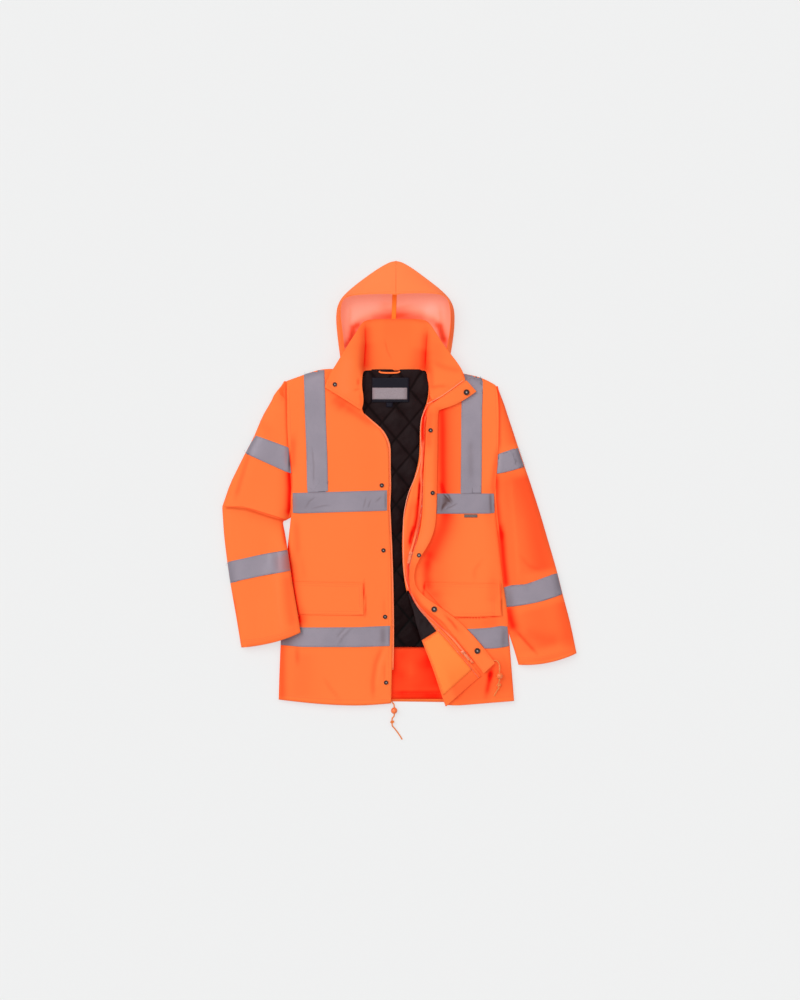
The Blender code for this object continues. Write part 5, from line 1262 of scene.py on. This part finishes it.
def longRuns(outline, depth, turn=.6):  # the two long edges of a strip, without its ends
    line = inset(outline, depth)
    main = np.linalg.svd(line - line.mean(axis=0))[2][0]
    step = np.roll(line, -1, axis=0) - line
    size = np.maximum(np.linalg.norm(step, axis=1), 1e-6)
    along = np.abs(step @ main) / size > turn
    runs, run = [], []
    first = int(np.argmin(along))
    for k in range(len(line)):
        i = (first + k) % len(line)
        if along[i]:
            run = run or [line[i]]
            run.append(line[(i + 1) % len(line)])
        elif run:
            runs.append(run)
            run = []
    if run:
        runs.append(run)
    return [r for r in runs if len(r) > 2]


sewnIn = {"tape": (2.6,), "hiVis": (3.5, 9), "facing": (3.0,)}  # how far in from the edge each finish is sewn
for laidName, laidFacts in laidPieces.items():
    loop = runEnds(laidFacts, np.array([place(x, y) for x, y in outlineOf(laidFacts["node"])]))
    loop = np.stack(patternOf(loop), axis=1)
    depths = sewnIn.get(laidFacts["finish"])
    if depths:
        loops = longRuns(loop, *depths) if laidFacts["finish"] == "tape" else [inset(loop, depth) for depth in depths]
        sew(laidName + "Stitches", loops, laidFacts["node"], laidFacts["thread"])
seams = {  # carrier, and the routes sewn on it
    "hemSeamRight": ("front_r", [((-277, 17), (-233, 11), (-136, 5), (-58, 4), (-17, 6))]),
    "hemSeamLeft": ("front_l", [((143, 6), (204, 9), (279, 13))]),
    "cuffSeamRight": ("sleeve_top_r", [((-379, 145), (-326, 151), (-277, 164), (-237, 181)),
                                       ((-378, 149), (-325, 155), (-277, 168), (-238, 185))]),
    "cuffSeamLeft": ("sleeve_top_l", [((296, 103), (362, 107), (436, 130)), ((295, 107), (362, 111), (435, 134))]),
    "armholeSeamRight": ("front_r", [((-260, 768), (-258, 722), (-255, 656), (-252, 600))]),
    "armholeSeamLeft": ("front_l", [((241, 768), (243, 685), (244, 612))]),
    "edgeSeamRight": ("front_r", [((-87, 705), (-58, 679), (-36, 660), (-24, 634), (-19, 588), (-19, 248),
                                   (-17, 17))]),
    "collarSeamRight": ("collar", [((-166, 802), (-163, 768), (-153, 757), (-124, 741), (-90, 720))]),
    "collarSeamLeft": ("collar", [((92, 739), (122, 759), (158, 782))]),
    "brimSeamRight": ("hood_r", [((-129, 979), (-97, 990), (-10, 995))]),
    "brimSeamLeft": ("hood_l", [((5, 995), (83, 995), (124, 988))]),
    "facingSeam": ("back_hem_facing", [((-5, 142), (100, 142)), ((-5, 20), (112, 20))]),
}
for seamName, (seamCarrier, seamRoutes) in seams.items():
    sew(seamName, seamRoutes, seamCarrier, "threadOrange")
for seamName, seamNode, seamIn, seamThread in (("flapSeam", "storm_flap_l", 3.5, "threadOrange"),
                                               ("labelSeam", "label", 2.0, "threadBlack")):
    sew(seamName, [inset(outlineOf(seamNode), seamIn)], seamNode, seamThread)
discard(stitchModel)
print("sewing done")


# studs: what each sits on and its shape
studEdge = {"width": .28, "angle": 35, "rim": -.25, "step": -.15, "post": .35, "postIn": .45, "tipIn": .3,
            "heart": .62}
studShapes = {
    "socket": {"radius": 5.2, "tall": 2.0, "hole": .46, "lip": .72, "dip": 1.1},
    "cap": {"radius": 7.0, "tall": 2.3, "hole": .5, "lip": .78, "dip": .9},
}
studs = {
    "stud_r1": ("front_r", "socket"), "stud_r2": ("front_r", "socket"), "stud_r3": ("front_r", "socket"),
    "stud_r4": ("front_r", "socket"), "stud_collar_r": ("collar", "socket"), "stud_collar_l": ("storm_flap_l", "cap"),
    "stud_l1": ("storm_flap_l", "socket"), "stud_l2": ("storm_flap_l", "socket"),
    "stud_l3": ("storm_flap_l", "socket"), "stud_l4": ("storm_flap_l", "cap"), "stud_l5": ("storm_flap_l", "cap"),
}


def raiseFaces(high):  # the chosen faces, in millimetres
    bpy.ops.transform.translate(value=(0, 0, high * mm))


def turnStud(name, shape):  # a turned ring with a sunk heart, standing on the origin
    rest()
    radius = shape["radius"] * mm
    bpy.ops.mesh.primitive_cylinder_add(vertices=36, radius=radius, depth=shape["tall"] * mm,
                                        location=(0, 0, shape["tall"] * mm / 2))
    stud = bpy.context.object
    stud.name = name
    chooseFaces(stud, lambda face: face.normal.z > .9)
    bpy.ops.mesh.inset(thickness=radius * (1 - shape["lip"]))
    raiseFaces(studEdge["rim"])
    bpy.ops.mesh.inset(thickness=radius * (shape["lip"] - shape["hole"]))
    raiseFaces(studEdge["step"])
    bpy.ops.mesh.extrude_region_move(TRANSFORM_OT_translate={"value": (0, 0, -shape["dip"] * mm)})
    bpy.ops.mesh.inset(thickness=radius * shape["hole"] * studEdge["postIn"])
    raiseFaces(studEdge["post"])
    bpy.ops.mesh.inset(thickness=radius * shape["hole"] * studEdge["tipIn"])
    bpy.ops.object.mode_set(mode="OBJECT")
    bevelEdges(stud, studEdge["width"], angle=studEdge["angle"])
    return shade(stud, studEdge["angle"])


def setStud(node, carrier, shape):
    stud = turnStud(node.replace("_", " ").title().replace(" ", ""), shape)
    points = pointsOf(nodes[node].data)
    middle = points.mean(axis=0)
    axis = Vector(np.linalg.svd(points - middle)[2][2])
    axis = axis if axis.z > 0 else -axis
    foot = float(((points - middle) @ np.array(axis)).min())
    fitted, _ = drop(treeOf(nodes[carrier].data), middle[0], middle[1])
    laid, _ = drop(surfaces[carrier], middle[0], middle[1])
    base = Vector(middle) + axis * foot + Vector((0, 0, laid.z - fitted.z))
    stud.data.transform(frameOn(base, (1, .2, 0), axis))
    dress(stud, "stud", "studHeart")
    for face in stud.data.polygons:
        spread = Vector(face.center) - base
        aside = (spread - axis * spread.dot(axis)).length
        if aside < shape["radius"] * shape["hole"] * studEdge["heart"] * mm:
            face.material_index = 1
    settle(stud, "studs", node)


for studNode, (studOn, studKind) in studs.items():
    setStud(studNode, studOn, studShapes[studKind])
print("studs set:", len(studs))


# sliders and pull tabs, with their edges rounded
hardEdge = {"width": .22, "angle": 32, "shade": 40}
hardPieces = {"upperSlider": ("slider_upper", "jacket"), "lowerSlider": ("slider_lower", "jacket"),
              "upperTab": ("pull_tab_upper", "upper_pull"), "lowerTab": ("pull_tab_lower", "lower_pull")}
for hardName, (hardNode, hardBody) in hardPieces.items():
    hard = splitWall(hardNode, hardName)
    dropLayers(hard)
    hard.data.polygons.foreach_set("material_index", np.zeros(len(hard.data.polygons), np.int32))
    dress(hard, "zipPull")
    bevelEdges(hard, hardEdge["width"], angle=hardEdge["angle"])
    shade(hard, hardEdge["shade"])
    settle(hard, "zip", hardNode, hardBody)
print("sliders and tabs made")


# drawcords with their beads and knots
cords = {
    "right": {"node": "cord_r", "bead": "cord_bead_r", "knot": "cord_knot_r", "beadLeg": 2, "knotLeg": 4,
              "route": [(-17, 8, 8.6), (-8, -3, 8.7), (-4.5, -10, 8.7), (-4.5, -34, 8.7), (-9.2, -41, 6.8),
                        (-9.2, -58, 6.8), (-5, -64, 4.0), (2, -73, 2.2), (9, -83, 2.0), (15, -93, 2.0)]},
    "left": {"node": "cord_l", "bead": "cord_bead_l", "knot": "cord_knot_l", "beadLeg": 4, "knotLeg": 6,
             "plan": [(230, 97.5), (240, 101), (247, 99), (251, 90), (251, 77), (251, 52), (250, 50), (249, 35),
                      (247, 31), (244, 26), (238, 15)],  # over the turned corner and down onto the front
             "above": [3.2, 3.2, 4.2, 6.6, 8.9, 8.9, 7, 7, 5.2, 2.8, 2.4], "level": {5: 4, 7: 6}},
}
cordSize = {"diameter": 3.4, "sides": 12, "bead": 8.0, "bore": .93, "knotSteps": 60, "knotWide": 1.25,
            "knotTall": 1.7}


def smoothRoute(route, spacing=2.0):  # a curve through every point of the route
    route = [Vector(p) for p in route]
    ends = [2 * route[0] - route[1], *route, 2 * route[-1] - route[-2]]
    line = []
    for k in range(1, len(ends) - 2):
        a, b, c, d = ends[k - 1:k + 3]
        count = max(2, round((c - b).length / mm / spacing))
        for i in range(count):
            t = i / count
            line.append(.5 * ((2 * b) + (c - a) * t + (2 * a - 5 * b + 4 * c - d) * t * t
                              + (3 * b - 3 * c + d - a) * t ** 3))
    return [*line, route[-1]]


def tube(name, line, radius, sides, finish, closed=False):
    count = len(line)
    points, faces = [], []
    side = None
    for k, here in enumerate(line):
        ahead = line[(k + 1) % count] if closed or k + 1 < count else here + (here - line[k - 1])
        behind = line[k - 1] if closed or k else here - (line[1] - here)
        way = (ahead - behind).normalized()
        side = Vector((0, 0, 1)) if side is None else side
        side = (side - way * side.dot(way)).normalized()
        across = way.cross(side)
        points += [here + (side * math.cos(2 * math.pi * s / sides) + across * math.sin(2 * math.pi * s / sides))
                   * radius for s in range(sides)]
    run, corners = 0.0, []
    last = count if closed else count - 1
    for k in range(last):
        step = (line[(k + 1) % count] - line[k]).length
        for s in range(sides):
            t = (s + 1) % sides
            n = (k + 1) % count
            faces.append((k * sides + s, k * sides + t, n * sides + t, n * sides + s))
            v0, v1 = run / (2 * math.pi * radius), (run + step) / (2 * math.pi * radius)
            corners += [(s / sides, v0), ((s + 1) / sides, v0), ((s + 1) / sides, v1), (s / sides, v1)]
        run += step
    if not closed:
        faces += [tuple(reversed(range(sides))), tuple((count - 1) * sides + s for s in range(sides))]
        corners += [(.5, 0)] * (2 * sides)
    piece = newPiece(name, points, faces, finish)
    layer = piece.data.uv_layers.new(name="UVMap")
    layer.data.foreach_set("uv", np.array(corners).ravel())
    turnOutwards(piece)
    return shade(piece, 60)


def threadOn(piece, spot, way):  # moved from the origin to its place along a cord
    turn = Vector(way).normalized().to_track_quat("Z", "Y").to_matrix().to_4x4()
    piece.data.transform(Matrix.Translation(spot) @ turn)
    return piece


def makeBead(name, spot, way):  # a ball with a bore
    rest()
    bpy.ops.mesh.primitive_uv_sphere_add(segments=28, ring_count=20, radius=cordSize["bead"] * mm)
    bead = bpy.context.object
    bead.name = name
    chooseFaces(bead, lambda face: abs(face.center.z) > cordSize["bore"] * cordSize["bead"] * mm)
    bpy.ops.mesh.delete(type="FACE")
    bpy.ops.mesh.select_mode(type="EDGE")
    bpy.ops.mesh.select_non_manifold()
    bpy.ops.mesh.bridge_edge_loops()
    turnOutwards(bead)
    dress(threadOn(bead, spot, way), "bead")
    return shade(bead)


def makeKnot(name, spot, way):  # an overhand knot pulled up round the cord
    wide, tall = cordSize["knotWide"], cordSize["knotTall"]
    line = []
    for k in range(cordSize["knotSteps"]):
        t = 2 * math.pi * k / cordSize["knotSteps"]
        line.append(Vector(((math.sin(t) + 2 * math.sin(2 * t)) * wide, (math.cos(t) - 2 * math.cos(2 * t)) * wide,
                            -math.sin(3 * t) * tall)) * mm)
    knot = tube(name, line, cordSize["diameter"] / 2 * mm, 10, "cord", closed=True)
    return threadOn(knot, spot, way)


def nodeMiddle(node):
    low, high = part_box(node)
    return (Vector(low) + Vector(high)) / 2


def cordLegs(facts):
    if "route" in facts:
        return [place(*point) for point in facts["route"]]
    front, legs = treeOf(nodes["front_l"].data), []
    for (x, y), high in zip(facts["plan"], facts["above"]):
        here = place(x, y)
        here.z = drop(front, here.x, here.y)[0].z + high * mm
        legs.append(here)
    for leg, other in facts["level"].items():
        legs[leg].z = legs[other].z
    return legs


def makeCord(side, facts):
    legs = cordLegs(facts)
    line = smoothRoute(legs)
    cord = tube("drawcord" + side.title(), line, cordSize["diameter"] / 2 * mm, cordSize["sides"], "cord")
    settle(cord, "cord", facts["node"])
    beadWay = legs[facts["beadLeg"] + 1] - legs[facts["beadLeg"]]
    knotWay = legs[facts["knotLeg"] + 1] - legs[facts["knotLeg"]]
    bead = makeBead("toggle" + side.title(), nodeMiddle(facts["bead"]), beadWay)
    settle(bead, "cord", facts["bead"])
    knot = makeKnot("knot" + side.title(), nodeMiddle(facts["knot"]), knotWay)
    settle(knot, "cord", facts["knot"])
    length = sum((b - a).length for a, b in zip(line, line[1:]))
    tuple(line[0])
    [tuple(p) for p in line]
    print("drawcord", side, "length", round(length / mm), "mm")


pipings = {  # carriers, radius and route
    "frontPiping": {"on": ("front_l",), "radius": 1.05, "route": (
        (79, 724), (72, 714), (62, 690), (59, 666), (60, 637), (62, 608), (59, 581), (52, 559), (44, 539),
        (33, 515), (26, 491), (21, 467), (18, 442), (18, 345), (19, 326), (21, 306), (26, 286), (33, 267),
        (46, 244), (63, 226), (81, 207), (100, 188), (111, 177))},
    "collarPiping": {"on": ("collar", "storm_flap_l"), "radius": .95, "route": (
        (73, 723), (90, 731), (109, 742), (131, 757), (151, 772), (164, 782))},
}
pipingLay = {"spacing": 5.0, "proud": .35, "evened": 3, "sides": 10}


def layPiping(name, facts):
    line = []
    for x, y, _, _ in walk(facts["route"], pipingLay["spacing"]):
        here = place(x, y)
        level = max(drop(surfaces[node], here.x, here.y)[0].z for node in facts["on"])
        here.z = level + facts["radius"] * pipingLay["proud"] * mm
        line.append(here)
    for _ in range(pipingLay["evened"]):
        line = [line[0], *[(a + 2 * b + c) / 4 for a, b, c in zip(line, line[1:], line[2:])], line[-1]]
    settle(tube(name, smoothRoute(line), facts["radius"] * mm, pipingLay["sides"], "piping"), "hi_vis_shell")


for pipingName, pipingFacts in pipings.items():
    layPiping(pipingName, pipingFacts)
print("piping laid:", len(pipings))


for cordSide, cordFacts in cords.items():
    makeCord(cordSide, cordFacts)
print("drawcords laid")


# floor
rest()
bpy.ops.mesh.primitive_plane_add(size=studio["floorWide"], location=(0, 0, 0))
ground = bpy.context.object
ground.name = "paperFloor"
ground.data.transform(Matrix.Translation((0, 0, studio["floorUnder"])))
ground.data.materials.append(floorLook.material)
rest()
